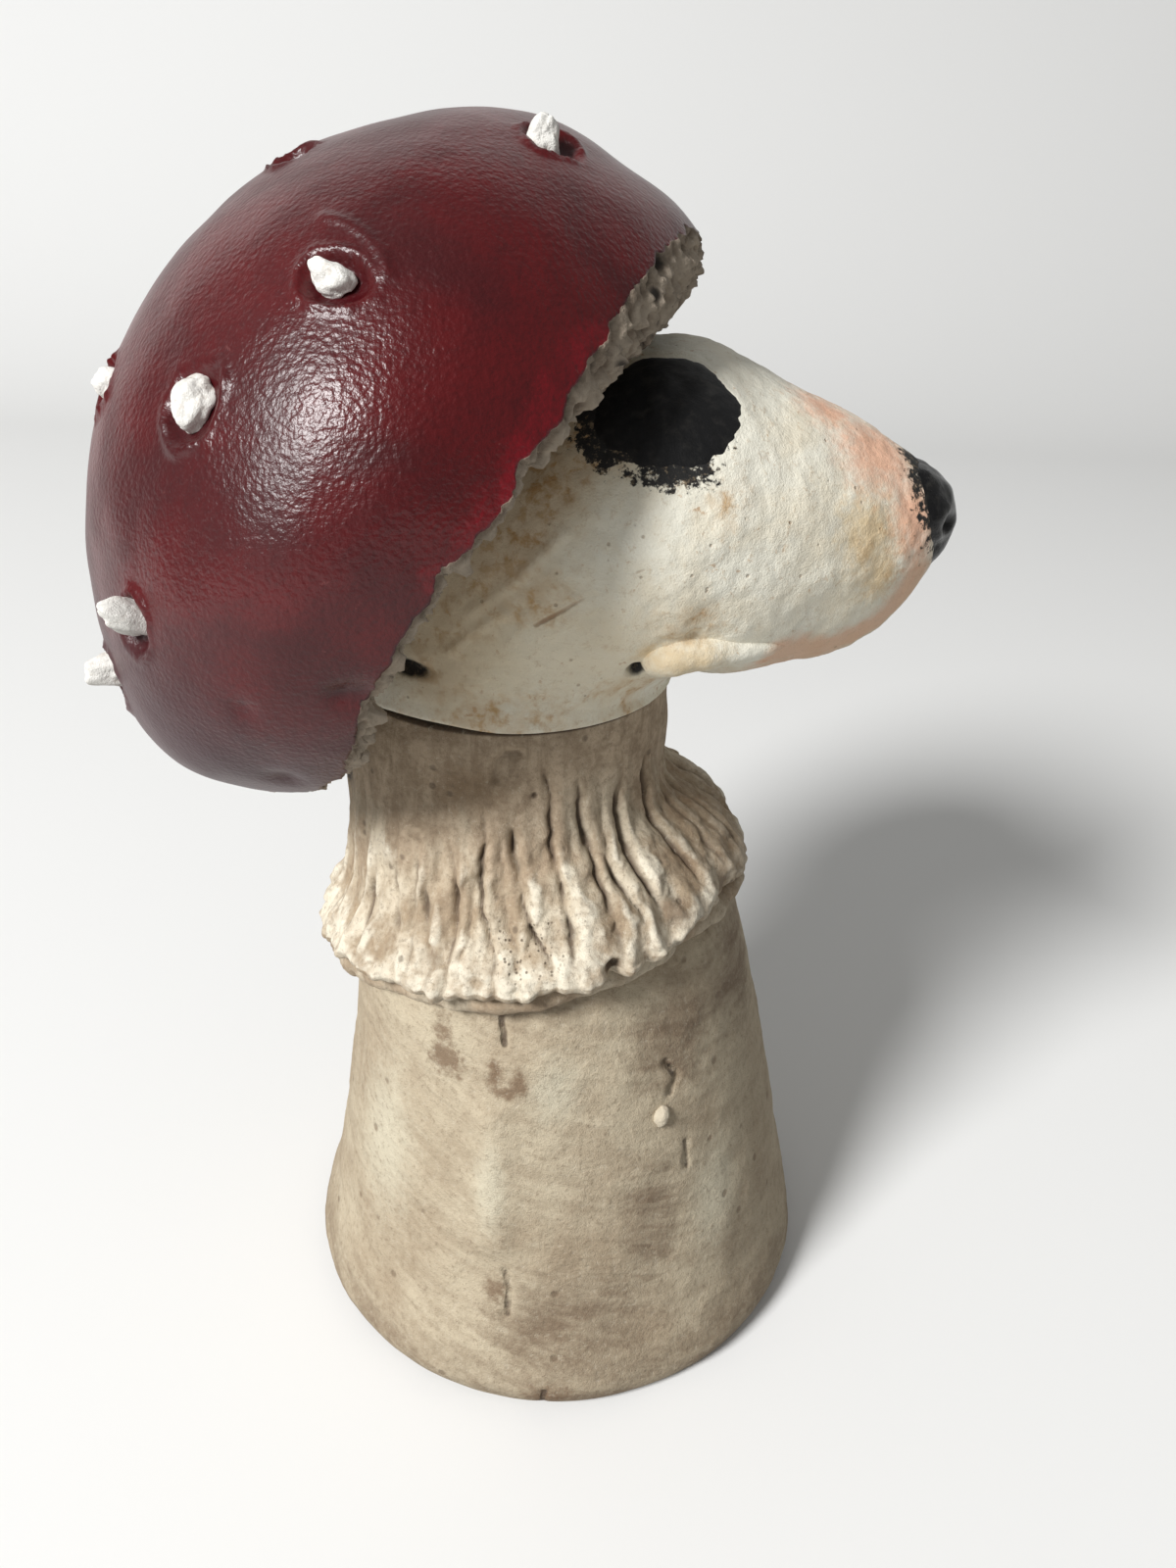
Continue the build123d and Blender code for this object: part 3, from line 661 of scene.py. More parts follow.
# The creases, scoops, small holes, thumbed arch and the strip at the seam are darkened: partly the wash left
# in them and partly painted shade.
skirt_clay.lay(skirt_clay.between(crease_wash_and_shade_mark, 0.2, 0.9, 0.0, 0.88), (0.095, 0.062, 0.038))
neck_spots = [
    ((-37.0, -7.0, 112.5), (3.0, 5.0, 6.5), 1.3, 0.5),
    ((-36.5, -8.5, 118.0), (3.0, 4.0, 3.5), 1.4, 0.5),
]
skirt_clay.lay(skirt_clay.masks(neck_spots), (0.02, 0.019, 0.02), 0.9)
grain = skirt_clay.grain(0.9)
skirt_clay.lay(skirt_clay.between(grain, 0.70, 0.98), (0.20, 0.145, 0.095), 0.6)
skirt_clay.lay(skirt_clay.between(grain, 0.66, 0.45), (0.73, 0.66, 0.53), 0.4)
gas_spots = [
    ((-5.9, -37.0, 94.5), (8.0, 8.0, 7.0), 0.8, 0.5),
    ((10.0, 36.0, 96.0), (8.0, 8.0, 6.0), 0.8, 0.5),
]
gas_holes = skirt_clay.times(skirt_clay.holes(0.95, 0.7), skirt_clay.masks(gas_spots))
holes = skirt_clay.most(gas_holes, skirt_clay.times(skirt_clay.holes(2.6, 0.12), 0.7))
skirt_clay.lay(holes, (0.10, 0.07, 0.045), 0.8)
skirt_clay.fire(skirt_clay.less(grain, holes), 0.6, 0.5)
skirt_rows, skirt_marks = skirt_skin()
clay_piece("skirt_pleats", skirt_rows, skirt_clay, "stalk", "skirt", loop=True, **skirt_marks)

# Hem coil: a roll of the skirt's clay thumbed in under the hem, where the skirt meets the stalk.
# It is uneven, and keeps some of the wash all over.
coil_drop, coil_size, coil_stand = 4.3, 2.9, 1.2


def hem_coil_skin():
    """A round roll carried round the stalk just below the hem, its size and height wandering with lumps."""
    turn = np.linspace(-np.pi, np.pi, 400, endpoint=False)
    around = round_way(30.0, turn)
    height = along(np.abs(np.degrees(turn)), hem_turns, hem_heights) - coil_drop + 0.9 * lumps(around, 16, 31)
    size = coil_size + 1.0 * lumps(around, 11, 32)
    spin = np.linspace(0, 2 * np.pi, 20, endpoint=False)[:, None]
    reach = stalk_reach(turn, height) + coil_stand + size * np.cos(spin)
    rows = about_neck(reach, turn, height + 0.9 * size * np.sin(spin))
    away = unit(rows - about_neck(0.0, turn, height))
    return rows + (0.7 * lumps(rows, 5, 33, 2) + 0.3 * lumps(rows, 1.8, 39, 2))[..., None] * away


coil_marks = {"crease": 0.3, "fall": 0.6, "ridge": 0.0}
clay_piece("hem_roll", hem_coil_skin(), skirt_clay, "stalk", "hem_coil", loop=True, **coil_marks)

# Clay crumb: a pinch of white clay that stuck to the stalk and was fired on.
# It is chalky and lumpy, pressed flat where it meets the stalk.
crumb_centre, crumb_facing = (17.4, -34.0, 58.0), (0.5, -0.86, 0.1)
crumb_reach, crumb_rise = (1.3, 1.9), 1.5
# A direction that no crumb or wart faces, from which their widths are measured across.
slant = (0.31, 0.12, 0.94)


def crumb_skin(centre, normal, reach, rise, sink, seed, lean=(0, 0, 0), rough=0.22, rings=18, spokes=36):
    """A lumpy dome: rings of a flattened ball about the normal, from its sunk underside up to its top, with
    the two widths and the rise given, pushed in and out by lumps and leaned over with its height."""
    normal = unit(np.asarray(normal, float))
    across = unit(np.cross(normal, slant))
    beside = np.cross(normal, across)
    polar = np.linspace(0.06, 0.985, rings)[:, None] * np.pi
    spin = np.linspace(0, 2 * np.pi, spokes, endpoint=False)
    ball = round_way(np.sin(polar), spin, -np.cos(polar))
    ball = ball * (1 + rough * lumps(ball, 1.1, seed, 2) + 0.04 * lumps(ball, 0.3, seed + 50, 2))[..., None]
    up = np.where(ball[..., 2:] > 0, rise, sink) * ball[..., 2:]
    tip = np.clip(up / rise, 0, 1) * np.asarray(lean)
    return centre + ball[..., :1] * reach[0] * across + ball[..., 1:2] * reach[1] * beside + up * normal + tip


wart_clay = Finish("wart_clay", 0.88, (0.84, 0.82, 0.77))
wart_clay.lay(wart_clay.wash(2.6, 0.3, 0.1), (0.60, 0.55, 0.49))
low_down = wart_clay.between(wart_clay.axes()[2], 80.0, 100.0, 1.0, 0.0)
wart_clay.lay(low_down, (0.60, 0.525, 0.40))
wart_clay.fire(wart_clay.grain(0.8), 0.7, 0.5)
crumb_rows = crumb_skin(crumb_centre, crumb_facing, crumb_reach, crumb_rise, crumb_rise, 41)
clay_piece("clay_crumb", crumb_rows, wart_clay, "stalk", "clay_pellet")

# Locating ring: a short loose tube of bare clay that stands on the ledge in the neck.
# The head drops over it, turns on it, and takes it along when it is lifted off.
ring_reach, ring_half_wall = 15.45, 2.2
ring_half_height = 11.9


def rounded(wave, power):
    """A sine or cosine wave squared up: its size to a power below 1, with its sign."""
    return np.sign(wave) * np.abs(wave) ** power


def neck_ring_skin():
    """A rounded oblong section carried round the neck's axis: a superellipse between the ring's bore and its
    outside and between its foot and its top, with a light unevenness on the inside only."""
    turn = np.linspace(0, 2 * np.pi, 200, endpoint=False)
    spin = np.linspace(0, 2 * np.pi, 56, endpoint=False)[:, None]
    reach = ring_reach + ring_half_wall * rounded(np.cos(spin), 0.3)
    rows = about_neck(reach, turn, seam_height + ring_half_height * rounded(np.sin(spin), 0.3))
    inside = 0.25 * lumps(rows, 5, 51) * (reach < 15)
    return rows + inside[..., None] * round_way(1.0, turn)


clay_piece("neck_ring", neck_ring_skin(), inner_clay, "ring", "locating_ring", loop=True)

# Head: a pinched hollow form with a long muzzle, bored below for the ring, in white slip over buff clay.
# Ochre stain lies along the cap and the jaw, the end of the muzzle has a pink blush, and black is smudged
# about the eyes and the nose.
throat_x, throat_z = 19.0, 127.0
head_steps = np.arange(14.0)
head_bends = [0, 20, 42, 62, 78, 90, 90, 90, 90, 90, 90, 90, 90, 90]
head_slides = [0, 0, 0, 0, 0, 0, 6.3, 13.0, 22.3, 28.5, 32.4, 35.5, 38.4, 40.2]
head_lows = [2.6, 2.8, 3.0, 3.2, 3.4, 3.2, 2.6, 3.6, 4.8, 7.6, 11.2, 15.6, 20.0, 24.0]
head_highs = [56.6, 57.0, 55.4, 54.0, 53.4, 52.4, 49.6, 46.4, 42.6, 39.2, 36.8, 34.4, 31.2, 27.6]
head_halves = [27.0, 28.4, 31.0, 32.2, 31.6, 29.9, 27.6, 24.3, 18.8, 14.8, 12.0, 9.4, 6.1, 2.6]
head_squares = [1.0, 1.0, 0.98, 0.94, 0.9, 0.9, 0.92, 0.95, 0.98, 1.0, 1.0, 1.0, 1.0, 1.0]
mouth_corner = (9.7, -24.9, 136.8)
mouth_reach, mouth_depth = (1.25, 2.0, 1.7), 3.4
cheek_folds = [
    [(-17.5, -27.1, 139.7), (-12.8, -29.2, 144.4), (-9.4, -29.8, 146.7)],
    [(-14.3, -27.6, 145.9), (-7.3, -29.9, 151.9), (-1.4, -30.6, 158.5)],
]
fold_rise, fold_width = 0.4, 0.8
rim_gap, rim_gap_reach, rim_gap_depth = (-24.4, -23.9, 135.4), (4.4, 4.4, 1.4), 1.4
nose_seat, nose_seat_reach, nose_seat_depth = (55.0, 0.0, 154.0), (6.5, 7.6, 7.0), 3.2
lip_crease = [(10.6, -26.8, 140.2), (13.0, -28.4, 143.0), (17.5, -27.8, 143.6)]
lip_crease_depth, lip_crease_width = 0.8, 0.9
lifted_edge, lift_reach, lift_height = np.radians(-116.0), 0.36, 0.9
# The bore's rings from its roof down to the seam edge, each with its radius and its height.
bore_rings = [(12.0, 151.0), (17.0, 149.0), (18.0, 147.5), (18.0, 127.6)]
bore_rings += [(18.4, 127.15), (25.6, 127.15), (27.2, 126.9), (27.6, 127.0)]


def head_ring(step, spin):
    """A point of the head: an oval in a plane through the throat, which swings from level to upright and then
    slides ahead to the nose. The spin starts at the throat and goes by the right side over the top."""
    bend = np.radians(along(step, head_steps, head_bends))
    slide = along(step, head_steps, head_slides)
    low, high = along(step, head_steps, head_lows), along(step, head_steps, head_highs)
    half, square = along(step, head_steps, head_halves), along(step, head_steps, head_squares)
    up, aside = rounded(-np.cos(spin), square), rounded(-np.sin(spin), square)
    out = (low + high) / 2 + (high - low) / 2 * up
    x, z = throat_x + slide - out * np.cos(bend), throat_z + out * np.sin(bend)
    return np.stack([x, half * aside, z], axis=-1)


def surface_normals(rows):
    """Unit normals of a closed-row grid, from the cross product of its row and column differences, turned so
    that on the whole they point away from the grid's middle."""
    along_rows = np.gradient(rows, axis=0)
    along_columns = np.roll(rows, -1, axis=1) - np.roll(rows, 1, axis=1)
    normal = np.cross(along_columns, along_rows)
    normal /= np.maximum(np.linalg.norm(normal, axis=-1, keepdims=True), 1e-9)
    return normal * np.sign(np.sum(normal * (rows - rows.mean(axis=(0, 1)))))


def head_skin():
    """Rings from inside the bore, out under the seam edge and along the head to the nose. The skin swells
    along its normals by lumps, two folds on the cheek and the groove over the lip, and is pierced at the
    mouth's corners. The seam edge stands proud of the neck, and is lifted off it over a short stretch."""
    spin = np.linspace(0, 2 * np.pi, 400, endpoint=False)
    stretches = ((0.04, 5, 150), (5.04, 12.4, 110), (12.45, 13, 8))
    step = np.concatenate([np.linspace(*stretch) for stretch in stretches])[:, None]
    skin = head_ring(step, spin)
    normal = surface_normals(skin)
    even = np.stack([skin[..., 0], -np.abs(skin[..., 1]), skin[..., 2]], axis=-1)
    swell = 0.55 * lumps(skin, 26, 61, 2) * ease(skin[..., 0], 46, 26)
    swell += 0.26 * lumps(skin, 7, 62, 3)
    swell += 0.1 * lumps(skin, 2.2, 66, 2)
    for fold in cheek_folds:
        swell += fold_rise * hump(line_gap(skin, fold), fold_width)
    swell -= lip_crease_depth * hump(line_gap(even, lip_crease), lip_crease_width)
    swell -= mouth_depth * hump(point_gap(even, mouth_corner, mouth_reach), power=4)
    swell -= rim_gap_depth * hump(point_gap(even, rim_gap, rim_gap_reach), power=4)
    swell -= nose_seat_depth * hump(point_gap(skin, nose_seat, nose_seat_reach), power=6)
    swell *= ease(step, 0.0, 0.45)
    edge = np.arctan2(skin[..., 1], skin[..., 0] + neck_setback)
    swell += (0.6 + 0.25 * lumps(skin, 6, 63)) * ease(step, 0.55, 0.0)
    skin = skin + swell[..., None] * normal
    lift = lift_height * hump(edge - lifted_edge, lift_reach, 3)
    skin[..., 2] += lift * ease(step, 0.9, 0.0)
    radii, levels = np.array(bore_rings).T[..., None]
    bore = about_neck(radii, -spin, levels)
    bore[..., 2] += lift[0] * (radii > 25)
    return np.vstack([bore, skin])


white_slip = Finish("white_slip", 0.72, (0.90, 0.87, 0.745))
axes = white_slip.axes()
aside = white_slip.times(calc(white_slip.tree, "ABSOLUTE", axes[1]), -1.0)
even = shade(white_slip.tree, "CombineXYZ", {0: axes[0], 1: aside, 2: axes[2]}).outputs[0]
white_slip.lay(white_slip.wash(13.0, 0.42, 0.12), (0.81, 0.72, 0.545), 0.6)
blotch = white_slip.wash(6.0, 0.56, 0.1)
scrape = white_slip.wash(2.4, 0.4, 0.08)
stain_share = white_slip.times(blotch, white_slip.lifted(scrape, 0.4, 0.6))
rim_band = [(-19.0, -26.5, 137.0), (-14.5, -27.6, 147.0), (-7.5, -27.6, 158.5), (0.5, -23.5, 169.5)]
rim_band += [(4.0, -16.0, 177.0)]
rim_stain = white_slip.masks(cracks=runs(rim_band, 9.5, 4.0), place=even)
rim_tan = white_slip.masks(cracks=runs(rim_band, 14.0, 6.0), place=even)
white_slip.lay(rim_tan, (0.64, 0.53, 0.355), 0.42)
rim_core = white_slip.masks(cracks=runs(rim_band, 8.0, 4.0), place=even)
rim_core = white_slip.times(rim_core, white_slip.lifted(scrape, 0.38, 0.42))
white_slip.lay(white_slip.most(white_slip.times(rim_stain, stain_share), rim_core), (0.44, 0.27, 0.12))
ivory_spots = [
    ((41.0, -16.0, 151.0), (14.0, 10.0, 12.0), 0.8, 0.9),
    ((-2.0, -28.0, 139.0), (32.0, 16.0, 19.0), 0.8, 0.9),
]
white_slip.lay(white_slip.masks(ivory_spots, place=even), (0.85, 0.735, 0.525), 0.6)
ochre_spots = [
    ((16.0, -27.5, 140.0), (9.0, 6.0, 4.0), 1.0, 0.8),
    ((11.0, -26.0, 141.0), (3.0, 5.0, 3.0), 1.0, 0.8),
    ((42.5, -16.8, 156.0), (8.6, 8.0, 8.4), 1.5, 0.9),
    ((45.0, -15.0, 149.5), (6.0, 6.0, 6.0), 1.5, 0.9),
]
white_slip.lay(white_slip.masks(ochre_spots, place=even), (0.78, 0.60, 0.355), 0.8)
jaw_spots = [
    ((-12.0, -27.5, 129.5), (22.0, 14.0, 7.0), 1.4, 0.8),
    ((8.0, -22.0, 130.5), (14.0, 12.0, 6.0), 1.4, 0.8),
    ((16.0, -28.0, 146.0), (8.0, 6.0, 5.0), 1.6, 0.9),
    ((20.0, -27.0, 162.5), (6.0, 6.0, 5.5), 1.6, 0.9),
    ((44.0, -14.0, 152.0), (9.0, 8.0, 8.0), 1.3, 0.9),
    ((-6.0, -31.0, 150.0), (9.0, 8.0, 7.0), 1.6, 0.9),
]
jaw_stain = white_slip.times(white_slip.masks(jaw_spots, place=even), stain_share)
white_slip.lay(jaw_stain, (0.56, 0.36, 0.17))
flecks = white_slip.times(white_slip.wash(1.9, 0.2, 0.04), white_slip.wash(11.0, 0.46, 0.08))
white_slip.lay(flecks, (0.52, 0.31, 0.15), 0.75)
pink_spots = [
    ((44.0, -7.5, 165.0), (13.5, 13.0, 9.6), 1.0, 0.85),
    ((50.6, -10.0, 156.5), (7.6, 8.6, 11.0), 1.0, 0.8),
    ((36.0, -5.0, 170.5), (11.0, 9.0, 5.0), 1.1, 0.9),
]
white_slip.lay(white_slip.masks(pink_spots, place=even), (0.82, 0.45, 0.29), 0.88)
chin_spots = [
    ((51.0, -7.0, 146.0), (9.0, 10.0, 7.0), 1.1, 0.85),
    ((36.0, -14.0, 134.5), (16.0, 14.0, 6.0), 1.2, 0.9),
]
chin_path = [(51.8, -9.0, 147.5), (49.2, -10.5, 141.5), (44.5, -12.5, 138.2), (38.5, -15.0, 136.6)]
chin_path += [(31.0, -20.0, 137.6)]
chin_blush = white_slip.masks(chin_spots, runs(chin_path, 5.6, 4.0), even)
white_slip.lay(chin_blush, (0.80, 0.42, 0.235), 0.64)
scratches = [
    ((-5.2, -30.6, 145.2), (2.1, -32.0, 150.2), 0.55, 0.4),
    ((7.0, -31.5, 153.0), (9.5, -31.5, 154.2), 0.45, 0.5),
    ((2.0, -24.5, 166.0), (4.4, -25.5, 169.0), 0.35, 0.8),
    ((0.6, -26.0, 160.0), (1.4, -25.5, 163.0), 0.3, 1.0),
]
scratch_mask = white_slip.masks(cracks=scratches)
white_slip.lay(scratch_mask, (0.33, 0.185, 0.095), 0.8)
smudges = [
    ((9.8, -22.5, 171.8), (11.8, 9.2, 9.8), 1.3, 0.25),
    ((13.0, -26.5, 166.6), (7.4, 5.0, 3.8), 1.8, 0.5),
    ((52.5, 0.0, 156.0), (9.0, 12.4, 11.6), 1.0, 0.35),
    ((56.0, 0.0, 154.0), (6.0, 8.4, 7.4), 0.5, 0.3),
]
smudge = white_slip.lifted(white_slip.wash(0.9, 0.5, 0.1), white_slip.masks(smudges, place=even), 0.4)
white_slip.lay(white_slip.between(smudge, 0.4, 0.95), (0.009, 0.0085, 0.008))
# Painted shade: the bore and the underside of the seam edge are painted near-black, as the shade inside them.
white_slip.lay(white_slip.mark("inside"), (0.07, 0.055, 0.042))
# Painted shade: the mouth's corners and the dent under the cap rim are painted near-black.
pit_shade_spots = [(mouth_corner, (1.5, 3.5, 2.1), 0.25, 0.35), (rim_gap, (4.6, 4.6, 1.5), 0.5, 0.4)]
white_slip.lay(white_slip.masks(pit_shade_spots, place=even), (0.012, 0.010, 0.009))
grain = white_slip.grain(1.3)
white_slip.lay(white_slip.between(grain, 0.76, 1.0), (0.56, 0.42, 0.26), 0.5)
pits = white_slip.holes(1.15, 0.035)
white_slip.lay(pits, (0.30, 0.2, 0.12), 0.55)
relief = white_slip.lifted(white_slip.grain(3.6), grain, 0.4)
relief = white_slip.less(relief, white_slip.lifted(pits, scratch_mask, 0.8))
white_slip.fire(relief, 0.5, 0.45)
head_rows = head_skin()
shaded_bore_rows = np.where(np.arange(len(head_rows)) < len(bore_rings) - 1, 1.0, 0.0)[:, None]
clay_piece("head_skin", head_rows, white_slip, "head", "head_shell", inside=shaded_bore_rows)

# Lips: two rolls of the same clay smoothed on along the edge of the mouth, tapering forward into the muzzle.
# They share the head's slip, with ochre left in the groove above.
lip_shares = [0.0, 0.2, 0.45, 0.7, 0.88, 1.0]
lip_path = [(10.6, 23.4, 137.5), (13.6, 25.8, 139.4), (18.0, 25.8, 140.2), (23.5, 24.2, 139.8)]
lip_path += [(29.0, 21.6, 139.5), (32.5, 19.8, 139.6)]
lip_sizes = [2.5, 3.1, 2.9, 2.1, 1.4, 0.8]
lip_close = 0.16


def lip_skin(sign):
    """A tapering roll: circles about a smooth path under the head's skin, with radii by a smooth curve, drawn
    in to nothing at both ends by a quarter circle, and pushed about by small lumps."""
    share = np.linspace(0.002, 0.998, 64)
    line = np.stack([along(share, lip_shares, part) for part in zip(*lip_path)], axis=-1) * (1, sign, 1)
    close = np.minimum(share, 1 - share).clip(0, lip_close) / lip_close
    size = along(share, lip_shares, lip_sizes) * np.sqrt(1 - (1 - close) ** 2)
    ahead = unit(np.gradient(line, axis=0))
    across = unit(np.cross(ahead, (0.0, 0.0, 1.0)))
    upward = np.cross(across, ahead)
    spin = np.linspace(0, 2 * np.pi, 40, endpoint=False)
    spokes = np.cos(spin)[:, None] * across[:, None] + np.sin(spin)[:, None] * upward[:, None]
    rows = line[:, None] + size[:, None, None] * spokes
    return rows + (0.22 * lumps(rows, 3.5, 65) * np.minimum(size, 1)[:, None])[..., None] * spokes


for side, sign in (("right", -1), ("left", 1)):
    clay_piece("lip_" + side, lip_skin(sign), white_slip, "head", side + "_lip")

# Nose and eyes: lumps of clay pressed on the head and painted with black underglaze.
# The nose is glossy, with nostrils and a groove below, and the eyes are dull patches with ragged edges.
eye_ahead, eye_aside, eye_height = 12.2, 20.8, 173.0
eye_reach, eye_dome = (11.0, 10.8), 0.8


def patch_skin(centre, reach, dome, seed, rings=34, spokes=160):
    """A thin patch laid on the head: a quartic surface fitted to the head's points near the centre, seen
    along their mean normal, raised by a low dome in the middle and sunk at its ragged edge, closed
    behind."""
    centre = np.asarray(centre, float)
    outer = head_rows[len(bore_rings):]
    near = point_gap(outer, centre) < 1.5 * max(reach)
    normal = unit(surface_normals(outer)[near].mean(axis=0))
    across = unit(np.cross((0.0, 0.0, 1.0), normal))
    upward = np.cross(normal, across)
    local = (outer[near] - centre) @ np.stack([across, upward, normal], axis=-1)
    powers = [(i, j) for i in range(5) for j in range(5 - i)]
    terms = np.stack([local[:, 0] ** i * local[:, 1] ** j for i, j in powers], axis=-1)
    fit = np.linalg.lstsq(terms, local[:, 2], rcond=None)[0]
    spin = np.linspace(0, 2 * np.pi, spokes, endpoint=False)
    share = np.concatenate([np.linspace(0.03, 1, rings), np.linspace(0.96, 0.04, 8)])[:, None]
    rag = round_way(2.0, spin)
    edge = 1 + 0.1 * lumps(rag, 1.3, seed) + 0.05 * lumps(rag, 0.4, seed + 1)
    u, v = share * edge * reach[0] * np.cos(spin), share * edge * reach[1] * np.sin(spin)
    height = sum(weight * u**i * v**j for weight, (i, j) in zip(fit, powers))
    flat = np.stack([u, v, 0 * u], axis=-1)
    lift = dome * (1 - share**2) ** 0.6 - 0.55 * share**8 + 0.22 * lumps(flat, 4.0, seed + 2) * (1 - share**4)
    lift[rings:] = -1.4
    return centre + u[..., None] * across + v[..., None] * upward + (height + lift)[..., None] * normal


black_glaze = Finish("black_glaze", 0.42, (0.0045, 0.0045, 0.005))
black_glaze.surface.inputs["Specular IOR Level"].default_value = 0.3
gloss = black_glaze.wash(5.0, 0.5, 0.2)
dull = black_glaze.between(black_glaze.axes()[0], 30.0, 44.0, 0.56, 0.2)
black_glaze.feed("Roughness", black_glaze.lifted(gloss, dull, 0.14))
# Greyer rubbed streaks on the black: brush marks, and partly a painted reflection.
black_glaze.lay(black_glaze.wash(2.4, 0.3, 0.12), (0.038, 0.035, 0.031), 0.5)
black_glaze.fire(black_glaze.grain(1.4), 0.4, 0.35)
for side, sign in (("right", -1), ("left", 1)):
    eye_rows = patch_skin((eye_ahead, eye_aside * sign, eye_height), eye_reach, eye_dome, 71)
    clay_piece("eye_" + side, eye_rows, black_glaze, "head", side + "_eye")
nose_centre, nose_reach = (50.9, 0.0, 154.0), (9.2, 10.2, 9.2)


def nose_skin():
    """A blunt ball about the muzzle's end, dented by two nostrils, an upright groove below the middle and a
    level one under each nostril."""
    polar = np.linspace(0.02, 0.72, 60)[:, None] * np.pi
    spin = np.linspace(0, 2 * np.pi, 140, endpoint=False)
    x, y, z = np.broadcast_arrays(np.cos(polar), np.sin(polar) * np.cos(spin), np.sin(polar) * np.sin(spin))
    ball = np.stack([x, y, z], axis=-1)
    dent = 2.0 * hump(np.hypot(np.abs(y) - 0.60, z - 0.05), 0.15) * (x > 0)
    dent += 0.9 * hump(y, 0.10) * ease(z, 0.25, -0.2) * ease(x, 0.0, 0.4)
    dent += 0.8 * hump(z + 0.30, 0.13) * ease(np.abs(y), 0.2, 0.6) * ease(x, -0.2, 0.3)
    size = 1 + 0.05 * lumps(ball, 0.7, 72) - dent / 9
    return nose_centre + ball * nose_reach * size[..., None]


clay_piece("nose_lump", nose_skin(), black_glaze, "head", "nose")

# Cap: a thrown bowl in deep red glaze, tilted back on the head like a bonnet.
# Its rim was torn by hand and left unglazed, so the bare clay of the wall shows in its pits and cracks.
cap_centre = np.array([-28.0, 0.0, 158.0])
cap_axis = np.array([-0.79864, 0.0, 0.60182])
cap_cross = np.array([0.60182, 0.0, 0.79864])
cap_side = np.array([0.0, 1.0, 0.0])
apex_radius, shoulder_radius, shoulder_inset = 62.57, 36.0, 18.5
cap_depth, cap_wall = 43.5, 6.2
blend_slope = np.arcsin(shoulder_inset / (apex_radius - shoulder_radius))
# Each wart's slope from the cap's axis and turn round it in degrees, its two half widths, and its rise.
wart_places = [
    (74.5, -16.0, 2.3, 2.4, 2.5), (30.0, -22.0, 1.6, 1.7, -0.5), (56.0, -57.7, 2.9, 1.9, 1.2),
    (43.6, -84.4, 2.8, 3.3, 1.5), (22.0, -110.0, 1.9, 2.3, 1.7), (60.5, -119.5, 2.2, 2.5, 3.0),
    (61.5, -146.5, 2.1, 2.6, 2.5), (50.0, 32.0, 2.7, 3.4, 2.6), (68.0, 62.0, 2.9, 3.3, 2.8),
    (41.0, 84.0, 2.6, 3.7, 2.3), (65.0, 108.0, 2.5, 3.1, 3.2), (30.0, 150.0, 3.0, 3.4, 2.2),
    (63.0, 152.0, 2.7, 3.3, 2.9),
]
seat_rim, seat_shift, seat_depth = 1.2, (0.8, 0.0, -0.6), 1.6
collar_gap, collar_width = 1.25, 0.17
ripple_rise, ripple_width = 0.4, 0.8
wart_ripple = [(-30.0, -33.8, 196.3), (-27.0, -35.7, 196.0), (-24.6, -37.6, 195.0), (-22.6, -39.7, 193.1)]
wart_ripple += [(-21.6, -41.8, 191.0)]
cap_pits = [
    ((-25.8, -51.5, 143.9), 2.6, 1.3),
    ((-28.5, -51.8, 144.1), 1.6, 1.0),
    ((-40.5, -50.3, 141.4), 1.6, 0.5),
    ((-38.9, -42.1, 126.7), 2.4, 0.8),
]
rim_level, rim_saddle, rim_reach = -19.2, 300, 51
rim_hole_count, rim_hole_depth = 64, 3.2


def cap_spoke(turn):
    """The direction away from the cap's axis at a turn round it from the brow side."""
    return np.cos(turn)[..., None] * cap_cross + np.sin(turn)[..., None] * cap_side


def bowl(slope, turn, inset=0.0):
    """A point of the bowl and its normal: an apex arc centred on the axis, and past the blend a shoulder arc,
    at the slope of the normal from the axis and the turn round it from the brow side."""
    apex = slope < blend_slope
    radius = np.where(apex, apex_radius, shoulder_radius) - inset
    reach = np.where(apex, 0, shoulder_inset) + radius * np.sin(slope)
    climb = np.where(apex, cap_depth - apex_radius, 0) + radius * np.cos(slope)
    spoke = cap_spoke(turn)
    point = cap_centre + reach[..., None] * spoke + climb[..., None] * cap_axis
    return point, np.sin(slope)[..., None] * spoke + np.cos(slope)[..., None] * cap_axis


def visor(slope, turn):
    """How far the brow side of the rim is bent outwards, most at its middle and growing towards the edge."""
    return hump(turn, 0.7) * (0.7 * ease(slope, 0.7, 1.2) + 2.7 * ease(slope, 1.5, 2.0))


def cap_outside(slope, turn):
    """The bowl's outside as it came out of the kiln: drawn in at the back, bent out at the brow, and
    lumpy."""
    point, normal = bowl(slope, turn)
    swell = 0.7 * lumps(point, 45, 84, 2) + 0.2 * lumps(point, 12, 85, 2) + visor(slope, turn)
    back = (1 - np.cos(turn)) / 2
    swell = swell - (2.2 - 1.3 * (1 - back) * ease(slope, 0.1, 0.5)) * ease(slope, 1.6, 0.7)
    swell = swell + 0.5 * back * ease(slope, 1.2, 1.6)
    swell = swell - 3.0 * ease(slope, 1.6, 2.1) * hump(np.abs(turn) - 2.8, 0.45)
    swell = swell + 0.9 * ease(slope, 1.0, 1.35) * ease(slope, 1.8, 1.5) * back
    swell = swell + ripple_rise * hump(line_gap(point, wart_ripple), ripple_width)
    return point + swell[..., None] * normal, normal


def wart_seat(slope, turn):
    """The middle and the facing of a wart's seat, at its slope and turn in degrees."""
    return cap_outside(np.radians(np.array(slope)), np.radians(np.array(turn)))


